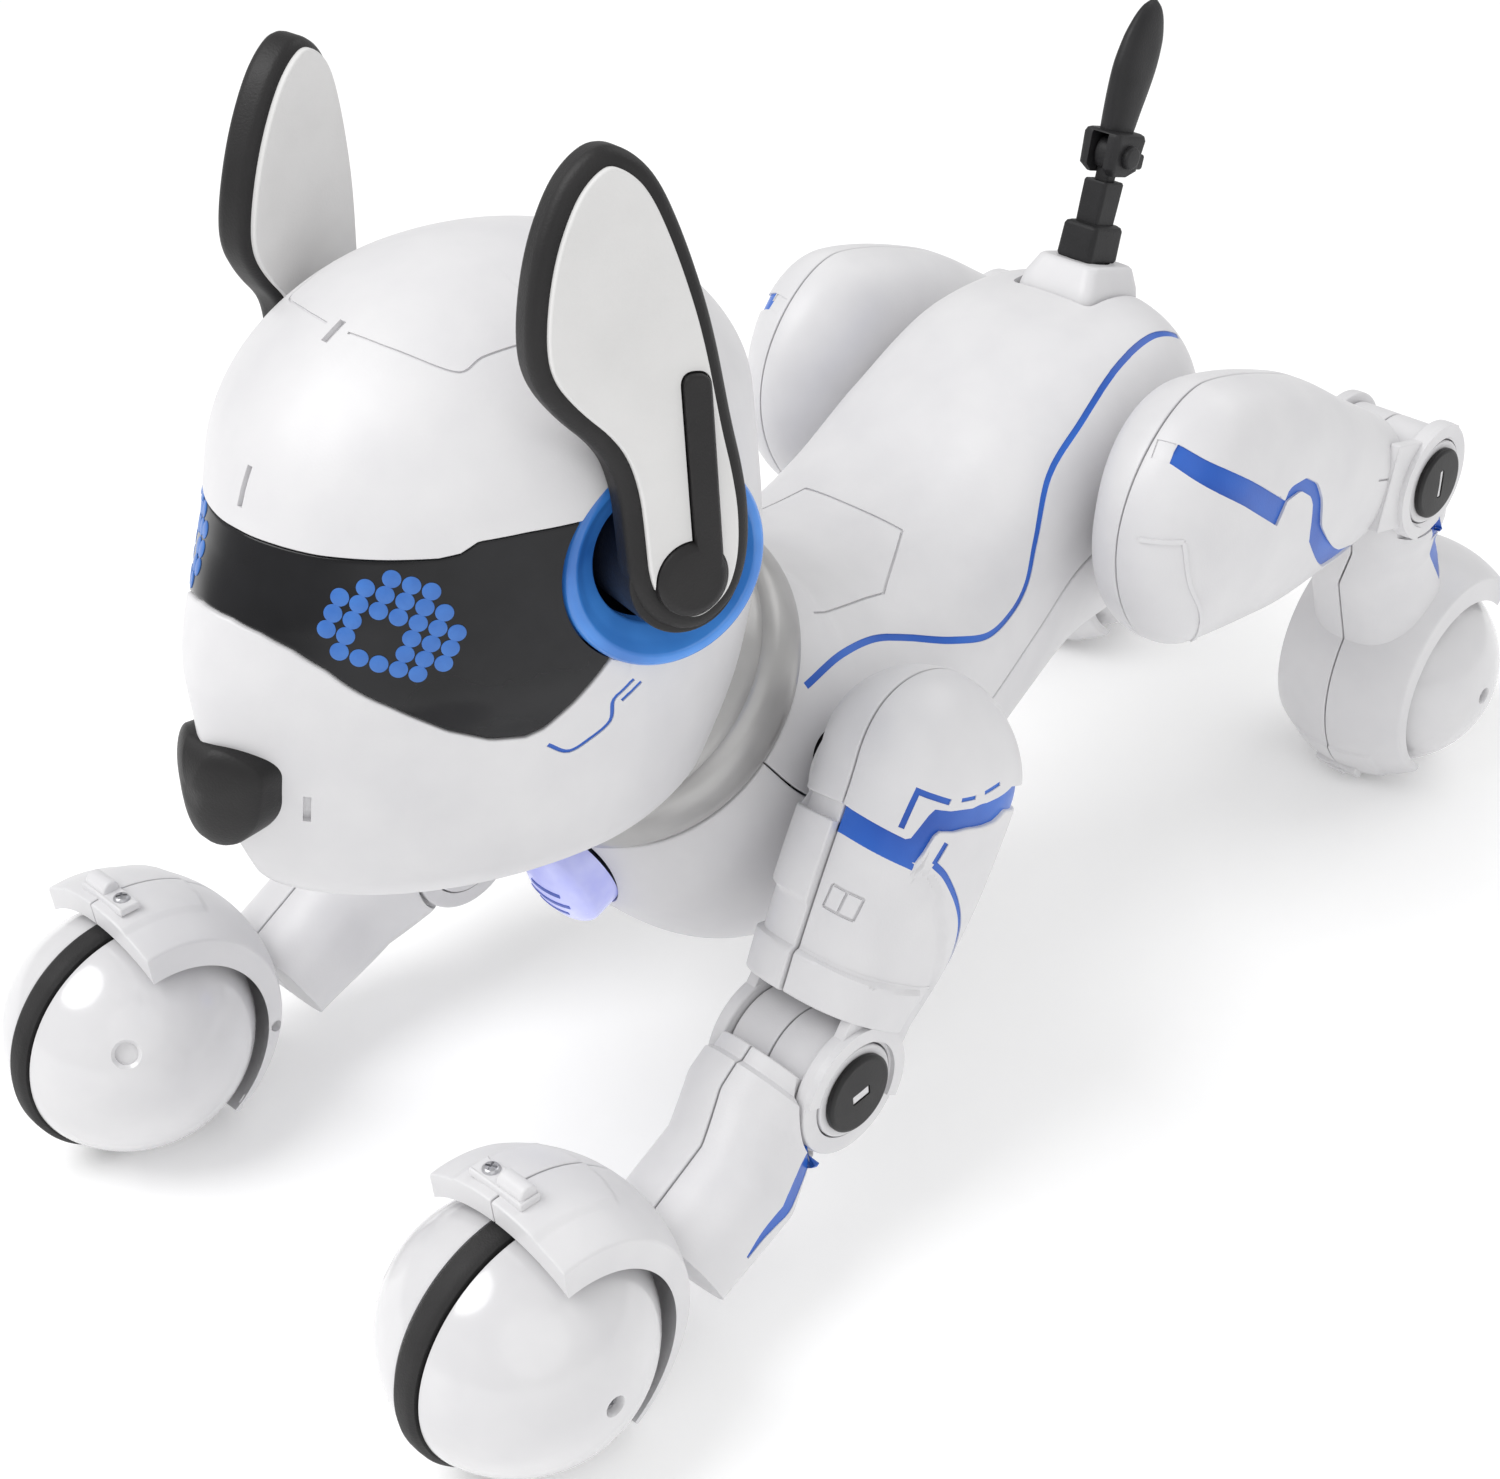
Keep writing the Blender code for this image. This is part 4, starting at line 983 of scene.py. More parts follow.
def shin_halves(table, pivot, wheel, hood_turns, relief, hood_relief):
    """Both halves of a left shin with its hood, by name."""
    def middle(at):
        share = np.clip((at - 8.5) / 9.5, 0, 1)
        return pivot[0] + (wheel[0] - pivot[0]) * share

    made = {}
    for half, sign in SIGNS.items():
        limb = half_limb(table, half, middle, sign * HALF_GAP, relief)
        tongue = rod(pivot, HALF_GAP, JOINT_HALF_WIDTH - 3.0, KNUCKLE_R + 1.5, sign=sign)
        clear = rod(pivot, JOINT_HALF_WIDTH - 2.95, 20, CHEEK_R + 0.9, 0.1, sign)
        space = turned(arc(TYRE_R + 0.7, -90, 90, 60), axis_frame(wheel, (1, 0, 0)), 96)
        stub = rod(pivot, 3, JOINT_HALF_WIDTH + 0.4, KNUCKLE_R - 0.35, 0.4, sign)
        shape = united(hood(wheel, sign, hood_turns, hood_relief), [limb, tongue])
        made[half] = united(combined(shape, [clear, space]), [stub])
    return made


def joint_disc(end, pivot, slot_size, slot_turn):
    """The black cap over a joint, with a pale slot in its middle."""
    place = axis_frame((pivot[0] + JOINT_HALF_WIDTH + 0.45, pivot[1], pivot[2]), (1, 0, 0))
    profile = ((0, 0), (CAP_R, 0), (CAP_R, 1.0), (CAP_R - 0.6, 1.35), (0, 1.6))
    turn = shifted(place @ Matrix.Rotation(slot_turn, 4, "Z"), 0, 0, 1.4)
    hole = block((*slot_size, 1.6), turn, 0.1, 0.3)
    cap = combined(turned(profile, place, 72, 0.25), [hole])
    slot_shape = (slot_size[0] - 0.3, slot_size[1] - 0.3, 0.8)
    slot = block(slot_shape, shifted(turn, 0, 0, -0.45), 0.12)
    body = f"{end}_SIDE_shin"
    add_pair(f"joint_disc_{end}_SIDE", cap, "black_plastic", body, [f"joint_cap_{end}_SIDE"])
    add_pair(f"joint_slot_{end}_SIDE", slot, "white_shell", body)


def raised_ring(lower, turns, tab):
    """An open ring on the outer cheek of a joint, with a tab at one angle of it."""
    angles = np.radians(np.linspace(*turns, 60))
    centre = np.array([lower[0] + JOINT_HALF_WIDTH, lower[1], lower[2]])
    places = centre + np.stack([0 * angles, np.cos(angles) * 10.8, np.sin(angles) * 10.8], -1)
    parts = [ribbon(places, np.tile((1.0, 0, 0), (60, 1)), 2.6, 0.9, -1.0)]
    if tab is not None:
        out = np.array([0.0, math.cos(math.radians(tab)), math.sin(math.radians(tab))])
        place = axis_frame(centre + out * 12.6, (1, 0, 0), tuple(out))
        parts.append(block((3.0, 3.4, 1.8), place, 0.3))
    return parts


def strap_block(lower, sign, lean, length=17):
    """The bar that joins a thigh to its cheek."""
    width = CHEEK_THICKNESS - 0.4
    place = Matrix.Translation(Vector(lower)) @ Matrix.Rotation(math.radians(lean), 4, "X")
    place = shifted(place, sign * (JOINT_HALF_WIDTH - CHEEK_THICKNESS / 2), 0, length / 2)
    return block((width, 2 * KNUCKLE_R, length), place, 0.3)


def finish_thigh(shape, half, table, pivot, lower, ring):
    """Closes the lower end of a thigh and adds the cheek that holds the lower joint."""
    sign = SIGNS[half]
    end = table[-1][0]
    rows = [(0, *hermite(table, np.array(end - 9.0))), (9.0, *table[-1][1:])]
    trimmed = [(*row[:4], row[4] - 0.7, row[5] - 0.7, row[6] - 0.7, *row[7:]) for row in rows]
    plug = half_limb(trimmed, half, pivot[0], sign * HALF_GAP, flip=True)
    lean = float(hermite(table, np.array(float(end)))[2] + 90)
    inner_face = JOINT_HALF_WIDTH - CHEEK_THICKNESS
    room = rod(lower, -5, inner_face - 0.05, KNUCKLE_R + 1.9, 0.1, sign)
    parts = [rod(lower, inner_face, JOINT_HALF_WIDTH, CHEEK_R, 0.5, sign)]
    if half == "outer":
        parts += raised_ring(lower, *ring)
    shape = combined(united(shape, [plug]), [room])
    shape = united(shape, parts + [strap_block(lower, sign, lean)])
    shape = combined(shape, [rod(lower, -20, 20, KNUCKLE_R, 0.1)])
    if half == "inner":
        shape = united(shape, [rod(pivot, -15.2, -8, 9.5, 0.4)])
        shape = combined(shape, [rod(pivot, -16, 7, SHAFT_R + 0.5, 0.1)])
    return shape


def add_thigh(end, half, shape):
    name = f"{end}_thigh_{half}_SIDE"
    add_pair(name, shape, "white_shell", f"{end}_SIDE_thigh", [f"thigh_{half}_{end}_SIDE"])


FRONT_BAND_TOP = (
    (50.0, 77.6, 83.1), (51.8, 77.5, 82.8), (60.9, 81.4, 79.0), (61.4, 86.2, 83.3),
    (62.2, 89.4, 81.9), (63.2, 94.0, 80.3), (63.4, 98.8, 79.4), (61.4, 104.9, 78.8),
)
FRONT_BAND_LOW = (
    (50.0, 76.2, 80.1), (51.2, 76.1, 80.1), (61.2, 81.4, 75.4), (61.5, 82.5, 74.4),
    (62.0, 86.7, 78.9), (62.8, 90.3, 77.2), (63.8, 95.0, 75.9), (62.5, 101.0, 73.9),
    (62.0, 104.2, 74.4),
)
FRONT_ZIGZAG = ((59.8, 80.8, 81.4), (60.3, 84.1, 87.2), (62.0, 89.3, 83.7))
FRONT_DASHES = (((62.4, 91.5, 83.2), (63.1, 94.7, 82.3)), ((63.3, 96.9, 82.0), (62.3, 101.1, 81.5)))
FRONT_HOOK = (
    (62.6, 88.4, 76.1), (62.3, 85.6, 73.2), (63.2, 88.2, 69.4), (62.9, 91.4, 62.4),
    (61.9, 92.9, 56.3), (61.1, 92.7, 50.0), (60.5, 92.0, 44.0),
)
FRONT_STEP = (
    (61.5, 82.2, 74.3), (62.5, 85.4, 70.6), (63.3, 87.2, 66.0), (63.4, 87.6, 61.2),
    (61.8, 88.9, 50.7), (60.5, 89.0, 43.8),
)
FRONT_WINDOW = ((52.8, 71.9, 71.2), (58.3, 74.0, 69.7), (57.8, 71.9, 66.2), (52.3, 70.1, 67.5))


def cuff(at, turn):
    """The raised cuff round the front of the lower end of a front thigh."""
    facing = np.where(turn > 90, 180 - turn, turn)
    return 1.1 * smooth_step(at, 52.0, 0.8) * (1 - smooth_step(facing, 15, 10))


def front_thigh():
    domes, x_mid = (18, 0), SHOULDER[0]
    top = edge_along(FRONT_THIGH, FRONT_BAND_TOP, domes, x_mid, True)
    low = edge_along(FRONT_THIGH, FRONT_BAND_LOW, domes, x_mid, True)
    step_turn = edge_along(FRONT_THIGH, FRONT_STEP, domes, x_mid, False)

    def inner_relief(at, turn):
        front = smooth_step(turn, 205, 10)
        return cuff(at, turn) + 0.9 * (1 - smooth_step(at, 43.5, 0.8)) * front

    def outer_relief(at, turn):
        behind = smooth_step(turn, step_turn(at), 2.2)
        return cuff(at, turn) - 0.8 * (1 - behind) * smooth_step(at, 23, 2)

    for half, relief in (("outer", outer_relief), ("inner", inner_relief)):
        def around(edge, extra=0.0):
            return lambda turn: edge(turn if half == "outer" else 180 - turn) + extra

        turns, shift = TURNS[half], SIGNS[half] * HALF_GAP
        cap = shell(FRONT_THIGH, turns, 0, around(top), domes, x_mid, 0.35, shift=shift)
        body = shell(FRONT_THIGH, turns, around(low), FRONT_THIGH[-1][0], domes, x_mid,
                     shift=shift, relief=relief)
        band = shell(FRONT_THIGH, turns, around(top, -1.6), around(low, 1.6), domes, x_mid,
                     -0.75, 1.0, shift)
        if half == "outer":
            shape, inserts = front_thigh_lines(cap, body)
            add_pair("front_lines_SIDE", joined(inserts), "blue_light", "front_SIDE_thigh")
            add_pair("front_band_SIDE", band, "blue_light", "front_SIDE_thigh")
        else:
            shape = joined([cap, body])
            add_pair("front_band_inside_SIDE", band, "white_shell", "front_SIDE_thigh")
        shape = finish_thigh(shape, half, FRONT_THIGH, SHOULDER, ELBOW, ((-35, 165), 62))
        add_thigh("front", half, shape)


def front_thigh_lines(cap, body):
    """The outer thigh with its grooves, and the blue inlays in them."""
    lines_cap, lines_body = Lines(cap), Lines(body)
    lines_cap.inlay(FRONT_ZIGZAG, 1.1, smooth=False)
    for dash in FRONT_DASHES:
        lines_cap.inlay(dash, 0.8)
    lines_body.inlay(FRONT_HOOK[:2], 1.3, smooth=False)
    lines_body.inlay(FRONT_HOOK[1:], taper=(1.3, 1.2, 1.0, 0.9, 0.7))
    window = FRONT_WINDOW + FRONT_WINDOW[:1]
    for k in range(4):
        lines_body.groove(window[k:k + 2], 0.5, 0.5)
    bar = [tuple(np.mean(FRONT_WINDOW[k:k + 2], axis=0)) for k in (0, 2)]
    lines_body.groove(bar, 0.5, 0.5)
    shape = joined([combined(joined([cap]), lines_cap.cuts), combined(body, lines_body.cuts)])
    return shape, lines_cap.inserts + lines_body.inserts


REAR_BAND_TOP = (
    (40.0, 158.0, 117.0), (44.9, 164.9, 115.3), (53.4, 167.4, 113.0), (57.9, 187.8, 99.0),
    (57.6, 188.6, 100.6), (57.3, 190.1, 101.3), (57.1, 195.3, 101.0), (57.2, 199.5, 98.3),
    (57.8, 201.9, 93.9), (57.6, 202.8, 88.0), (55.8, 210.0, 80.5), (55.1, 213.7, 78.2),
    (54.3, 220.4, 76.5), (54.0, 226.0, 78.0),
)
REAR_BAND_LOW = (
    (40.0, 156.0, 114.0), (45.3, 162.4, 112.9), (54.8, 167.8, 108.7), (58.6, 184.0, 96.2),
    (58.0, 187.0, 98.0), (57.8, 188.8, 98.9), (57.5, 193.5, 99.1), (57.7, 197.1, 96.6),
    (58.2, 198.4, 93.5), (57.1, 198.9, 86.5), (54.6, 210.5, 75.0), (53.0, 220.4, 74.0),
    (53.0, 226.0, 76.0),
)
REAR_BAND_START = (
    (45.6, 163.7, 114.1), (48.6, 165.0, 113.6), (54.1, 167.6, 110.9), (57.2, 176.5, 104.6),
    (58.3, 187.3, 96.8),
)
REAR_RIDGE = (
    (48.1, 157.3, 99.8), (54.0, 162.5, 99.3), (54.6, 164.1, 91.1), (54.7, 168.2, 83.3),
    (51.0, 172.0, 75.0),
)
REAR_KNEE_LINE = ((56.3, 223.7, 89.5), (57.4, 232.7, 86.5), (57.5, 235.4, 77.1))


FOREARM_INLAY = (
    (61.5, 60.3, 26.7), (62.1, 55.4, 26.0), (63.5, 50.0, 24.5), (65.3, 43.0, 22.5),
    (65.7, 38.5, 20.0),
)


def rear_thigh():
    domes, x_mid = (20, 0), HIP[0]
    end = REAR_THIGH[-1][0]
    start, band_end = 30.0, 72.0
    top = edge_along(REAR_THIGH, REAR_BAND_TOP, domes, x_mid, False)
    low = edge_along(REAR_THIGH, REAR_BAND_LOW, domes, x_mid, False)

    def narrowed(edge, sign, extra=0.0):
        """An edge of the band, drawn towards its middle where the band ends."""
        def turn(at):
            fade = smooth_step(at, band_end - 2, 5)
            return edge(at) + sign * fade * (top(at) - low(at)) * 0.5 + extra
        return turn

    whole = shell(REAR_THIGH, (-90, 90), 0, end, domes, x_mid, shift=HALF_GAP)
    slot = shell(REAR_THIGH, (start, band_end), narrowed(low, 1), narrowed(top, -1), domes, x_mid,
                 3.0, 3.9, HALF_GAP, across_first=False)
    band = shell(REAR_THIGH, (start + 0.3, band_end), narrowed(low, 1, -5), narrowed(top, -1, 5),
                 domes, x_mid, -0.5, 0.9, HALF_GAP, across_first=False)
    lines, notch = Lines(whole), Lines(whole)
    lines.ridge(REAR_RIDGE[:2], 0.8)
    lines.ridge(REAR_RIDGE[1:], 0.8, smooth=True)
    lines.groove(REAR_KNEE_LINE, 0.45, 0.5)
    lines.inlay(REAR_BAND_START[1:], depth=0.9, taper=(3.7, 4.5, 4.8, 4.8), top=-0.5)
    notch.inlay(REAR_BAND_START[:2], 3.6, depth=0.9, top=-0.35)
    shape = united(combined(whole, [slot] + lines.cuts + notch.cuts), lines.ridges)
    shape = finish_thigh(shape, "outer", REAR_THIGH, HIP, KNEE, ((60, 250), None))
    add_thigh("rear", "outer", shape)
    add_pair("rear_band_SIDE", joined([band] + lines.inserts), "blue_light", "rear_SIDE_thigh")
    add_pair("rear_notch_SIDE", joined(notch.inserts), "white_shell", "rear_SIDE_thigh")
    inner = shell(REAR_THIGH, (90, 270), 0, end, domes, x_mid, shift=-HALF_GAP)
    add_thigh("rear", "inner", finish_thigh(inner, "inner", REAR_THIGH, HIP, KNEE, None))


def add_shins(end, made, inlay_name, inlays):
    """Cuts the inlays, given as (points, options), into the outer half and adds both halves."""
    lines = Lines(made["outer"])
    for points, options in inlays:
        lines.inlay(points, **options)
    made["outer"] = combined(made["outer"], lines.cuts)
    body = f"{end}_SIDE_shin"
    add_pair(inlay_name, joined(lines.inserts), "blue_light", body)
    for half, shape in made.items():
        add_pair(f"{end}_shin_{half}_SIDE", shape, "white_shell", body, [f"shin_{half}_{end}_SIDE"])


def shelf(at, turn):
    """A low step at the top of the forearm."""
    facing = np.where(turn > 90, 180 - turn, turn)
    return -1.1 * (1 - smooth_step(at, 3.2, 0.6)) * (1 - smooth_step(facing, 25, 10))


def front_shin():
    made = shin_halves(FRONT_SHIN, ELBOW, FRONT_WHEEL, FRONT_HOOD_TURNS, shelf, front_hood_relief)
    x, y, z = FRONT_WHEEL
    holes = [
        rod((x - HOOD_HALF_WIDTH, y + back, z + up), -1.0, 1.6, 1.15, 0.05)
        for back, up in ((20.9, -3.6), (12.6, -17.0))
    ]
    made["inner"] = combined(made["inner"], holes)
    inlay = (FOREARM_INLAY, {"taper": (3.4, 4.0, 3.6, 2.4, 0.8)})
    add_shins("front", made, "forearm_inlay_SIDE", [inlay])


def rear_shin():
    made = shin_halves(REAR_SHIN, KNEE, REAR_WHEEL, REAR_HOOD_TURNS, None, rear_hood_relief)
    upper = (((58.8, 246.5, 77.0), (57.6, 250.0, 66.5)), {"width": 2.4, "smooth": False})
    lower = (((57.4, 252.5, 67.0), (53.0, 262.0, 52.5)), {"width": 4.2, "smooth": False})
    add_shins("rear", made, "shin_stripe_SIDE", [upper, lower])


def hood_clips():
    """The latch bar on top of each front hood, with its pin and screw."""
    x, _, z = FRONT_WHEEL
    base = axis_frame((x - 1.0, 0.6, z + HOOD_OUTER_R + HOOD_RISE + 0.2), (0.0, 0.02, 1.0), (0, 1, 0))
    pin_place = shifted(base, 2.6, 0.2, 1.0) @ Matrix.Rotation(math.pi / 2, 4, "Y")
    clip = united(block((12.0, 4.0, 1.6), base, 0.35), [drum(1.7, -2.9, 2.9, pin_place, 40, 0.5)])
    add_pair("hood_clip_SIDE", clip, "white_shell", "front_SIDE_shin")
    head = screw(shifted(base, -3.2, 0.2, 0.9))
    add_pair("hood_screw_SIDE", head, "speaker_steel", "front_SIDE_shin")


def rear_latches():
    """The small latch at the lower front edge of each rear hood."""
    phi = math.radians(-47)
    reach = HOOD_OUTER_R + HOOD_RISE * math.sin(phi)
    out = Vector((0, -math.cos(phi), math.sin(phi)))
    along = (0, -math.sin(phi), -math.cos(phi))
    place = axis_frame(Vector(REAR_WHEEL) + out * reach, out, along)
    tongue = block((4.0, 2.4, 1.8), shifted(place, 0, 0.4, 0.5), 0.3)
    latch = united(block((10.0, 4.0, 1.6), place, 0.35), [tongue])
    add_pair("rear_latch_SIDE", latch, "white_shell", "rear_SIDE_shin")


# ---------------------------------------------------------------- torso


TRIM = (
    (26.8, 93.4, 88.4), (25.5, 102.7, 89.5), (25.1, 111.9, 88.9), (26.8, 119.0, 86.9),
    (29.6, 129.1, 83.2), (30.3, 137.9, 80.7), (30.1, 144.9, 82.3), (29.3, 149.8, 86.0),
    (27.9, 153.8, 93.1), (24.9, 160.2, 102.6), (23.9, 170.1, 109.5), (21.9, 182.3, 115.5),
    (20.1, 195.0, 117.2), (19.2, 205.9, 113.7),
)
BACK_PANEL = ((12.1, 134.6, 96.8), (19.7, 121.0, 92.2), (18.4, 103.8, 94.5))


def back():
    """The upper torso shell with its blue trim, drawn grooves and tail opening."""
    shape = shell(TORSO, (0.25 - SEAM, 179.75 + SEAM), 0, TORSO[-1][0], TORSO_DOMES, step=1.1)
    lines = Lines(shape)
    for points in (TRIM, flipped_x(TRIM)):
        lines.inlay(points, 1.35, 0.75)
    flipped = flipped_x(BACK_PANEL)
    for points in (BACK_PANEL, flipped, (BACK_PANEL[0], flipped[0])):
        lines.groove(points, 0.5, 0.5)
    tail_place = axis_frame(TAIL_BASE, TAIL_AXIS, (0, 1, 0))
    socket_hole = plate(rectangle(9.6, 9.6, 2.0), tail_place, -11, 11, 0.1)
    shape = combined(shape, lines.cuts + shaft_holes() + [socket_hole])
    add("back_skin", shape, "white_shell", "torso", ["back_shell"])
    add("back_trim", joined(lines.inserts), "blue_light", "torso")


def shaft_holes():
    return [rod((0, y, z), -60, 60, SHAFT_R + 1.2, 0.05) for _, y, z in (SHOULDER, HIP)]


def belly():
    """The lower torso shell, open for the lens, the battery lid and the switch."""
    shape = shell(TORSO, (SEAM - 179.7, -SEAM - 0.3), 0, TORSO[-1][0], TORSO_DOMES, step=1.1)
    lens_hole = drum(LENS_R + 0.35, -12, 12, axis_frame(LENS_CENTRE, LENS_AXIS))
    wide = (DOOR_TURNS[0] - 0.7, DOOR_TURNS[1] + 0.7)
    door_hole = shell(TORSO, wide, DOOR_AT[0] - 0.4, DOOR_AT[1] + 0.4, grow=2.0, wall=7.0, step=1.5)
    switch_hole = block((13.2, 4.7, 16.6), Matrix.Translation((0, 108.0, 28.3)), 0.2)
    shape = combined(shape, shaft_holes() + [lens_hole, door_hole, switch_hole])
    add("belly_skin", shape, "white_shell", "torso", ["belly_shell"])


def battery_lid():
    lid = shell(TORSO, DOOR_TURNS, *DOOR_AT)
    lines = Lines(lid)
    for _, y, z in skin(TORSO, np.array([66.0, 68.0, 70.0, 72.0]), -90.0):
        lines.ridge([(-6, y, z), (6, y, z)], 0.8, 0.5)
    add("battery_lid", united(lid, lines.ridges), "white_shell", "torso", ["battery_door"])


def chest_lens():
    """The domed lens, with three plain bars on it."""
    place = axis_frame(LENS_CENTRE, LENS_AXIS)
    profile = [(0, -4), (LENS_R, -4), (LENS_R, 1.0)]
    for angle in np.radians(np.linspace(8, 88, 14)):
        profile.append((LENS_R * math.cos(angle), 1.0 + 4.0 * math.sin(angle)))
    lens = turned(profile + [(0, 5.0)], place, 72)
    add("lens_cover", lens, "lens_lavender", "torso", ["chest_lens"])
    lines = Lines(lens)
    for row, half in ((2.6, 3.8), (0.0, 5.2), (-2.6, 3.8)):
        ends = [tuple(place @ Vector((x, row, 5.0))) for x in (-half, half)]
        lines.ridge(ends, 0.8, 0.12)
    add("lens_marks", joined(lines.ridges), "lens_mark", "torso")


def collar():
    """The satin ring round the neck, and the liner that fills it up to the head."""
    place = axis_frame(NECK_CENTRE, NECK_AXIS, (0, 1, 0))
    out = (-5, -1, 0.4, 0.6, 0.2, -0.6, -2.4, -5)
    up = (COLLAR_LOW, COLLAR_LOW, -3.2, -1.5, 1.2, 3.4, COLLAR_HIGH, COLLAR_HIGH)
    profile = [(COLLAR_R + past, height) for past, height in zip(out, up)]
    ring = turned(profile, place, 144, 0.9, ring=True)
    liner_profile = ((19, 2), (29, 2), (28.2, 6.0), (25.5, 10.5), (19, 11.5))
    liner = turned(liner_profile, place, 144, 0.8, ring=True)
    add("collar_ring", united(ring, [liner]), "satin_silver", "torso", ["neck_collar"])


# ---------------------------------------------------------------- tail


# Rows of the lofts: height, half width, half depth, shift back
SOCKET_ROWS = (
    (-4.5, 9.2, 9.2, 0), (-1.0, 9.0, 9.0, 0), (1.5, 8.4, 8.6, 0.1), (4.2, 7.2, 7.6, 0.3),
    (4.9, 6.9, 7.3, 0.3), (5.3, 6.4, 6.8, 0.3), (5.4, 5.9, 6.3, 0.3),
)
CUFF_ROWS = (
    (5.2, 3.3, 4.1, 0), (5.5, 3.9, 4.7, 0), (6.0, 4.1, 4.9, 0), (11.6, 4.0, 4.8, 0),
    (12.2, 3.7, 4.5, 0), (12.5, 3.0, 4.0, 0),
)
UPPER_ROWS = ((11.0, 2.6, 3.0, 0), (16.0, 2.7, 3.1, 0), (20.3, 2.7, 3.2, 0), (20.7, 2.5, 3.0, 0))
NECK_ROWS = ((19, 1.6, 1.4, 0), (TAIL_HINGE_UP, 1.6, 1.4, 0))
# Heights in these two are counted from the hinge.
BLADE_ROWS = (
    (-2.5, 2.2, 3.0, 0), (2, 2.4, 3.6, 0.1), (7, 2.6, 4.4, 0.3), (12, 2.6, 5.3, 0.7),
    (17, 2.4, 5.9, 1.2), (21, 2.1, 5.6, 1.7), (25, 1.6, 4.3, 2.1), (27.5, 1.0, 2.7, 2.3),
    (28.8, 0.3, 0.9, 2.4),
)
CLASP_ROWS = (
    (-4.0, 3.2, 2.6, 0), (-2.6, 4.1, 4.5, 0), (3.2, 4.3, 5.0, 0.1), (4.0, 4.0, 4.7, 0.1),
    (4.3, 3.4, 4.2, 0.1),
)


def above_hinge(rows):
    return [(TAIL_HINGE_UP + height, *rest) for height, *rest in rows]


def tail():
    """The socket, the stem with its cuff and hinge eye, and the blade with its forked clasp."""
    place = axis_frame(TAIL_BASE, TAIL_AXIS, (0, 1, 0))
    hinge = Vector(TAIL_BASE) + Vector(TAIL_AXIS) * TAIL_HINGE_UP
    bore = drum(STEM_R + 0.35, -2, 14, place, 48)
    socket = combined(square_loft(place, SOCKET_ROWS, 0.35), [bore])
    add("tail_base", socket, "white_shell", "torso", ["tail_socket"])
    stem = united(drum(STEM_R - 0.4, -1.6, 12.0, place, 40, 0.4), [
        square_loft(place, CUFF_ROWS, 0.3), square_loft(place, UPPER_ROWS, 0.3),
        square_loft(place, NECK_ROWS, 0.4), rod(hinge, -1.6, 1.6, 3.3, 0.4),
    ])
    stem = combined(stem, [rod(hinge, -3, 3, 2.5, 0.05)])
    add("tail_stem_shape", stem, "tail_rubber", "tail", ["tail_stem"])
    knob = block((5.2, 4.0, 3.0), shifted(place, 0, 6.0, TAIL_HINGE_UP - 1.2), 0.6)
    fork_slot = block((3.8, 13.9, 11.8), shifted(place, 0, -3.05, TAIL_HINGE_UP - 2.1), 0.2)
    tip = oval_loft(place, smooth_rows(above_hinge(BLADE_ROWS), 60))
    tip = united(tip, [square_loft(place, above_hinge(CLASP_ROWS), 0.35), knob])
    tip = united(combined(tip, [fork_slot]), [rod(hinge, -5.4, 5.4, 2.2, 0.5)])
    add("tail_blade_shape", tip, "tail_rubber", "tail_tip", ["tail_blade"])


# ---------------------------------------------------------------- head


VISOR_TOP = (
    (34.3, 37.9, 145.5), (33.1, 29.2, 145.6), (29.5, 23.1, 145.2), (28.2, 20.8, 143.6),
    (26.5, 18.1, 143.1), (21.2, 12.7, 143.1), (13.5, 6.9, 143.3), (7.2, 3.9, 143.8),
    (0.0, 2.8, 144.2),
)
VISOR_LOW = (
    (38.0, 40.5, 121.5), (33.8, 35.4, 114.4), (31.6, 31.6, 110.9), (30.2, 29.0, 110.0),
    (27.9, 24.0, 110.8), (25.4, 17.9, 113.9), (21.0, 11.0, 120.2), (16.4, 4.3, 126.9),
    (12.4, 1.3, 130.0), (8.1, -0.7, 132.0), (3.5, -2.2, 133.3), (0.0, -2.6, 133.6),
)
BROW_SLOTS = ((((0, 5.6, 153.6), (0, 4.0, 147.4)), 1.1), (((0, 25.6, 168.4), (0, 21.6, 167.0)), 1.4))
CREASE = (
    (2.4, 24.2, 168.1), (10.0, 26.0, 167.2), (19.0, 29.8, 165.4), (20.0, 34.0, 166.7),
    (21.7, 40.0, 167.3),
)
CHEEK_LINE = (
    (30.9, 32.2, 107.6), (31.7, 35.4, 105.3), (33.3, 38.6, 106.6), (34.6, 41.7, 109.0),
    (35.2, 41.9, 112.8), (35.7, 43.3, 114.3), (36.3, 45.1, 115.9),
)
CHEEK_DASH = ((35.5, 43.4, 112.3), (36.5, 46.5, 114.8))
NOSTRIL = ((11.2, 1.7, 103.9), (10.1, 1.8, 98.8))


def face_edge(points):
    """The height of an edge of the visor as a function of the turn, the same on both sides."""
    found = locate(HEAD, points, (0, HEAD_DOMES[1]), 0.0, (-5, 90))
    order = np.argsort(found[:, 1])
    turns, heights = found[order, 1], np.array(points)[order, 2]
    return lambda turn: np.interp(np.where(turn > 90, 180 - turn, turn), turns, heights)


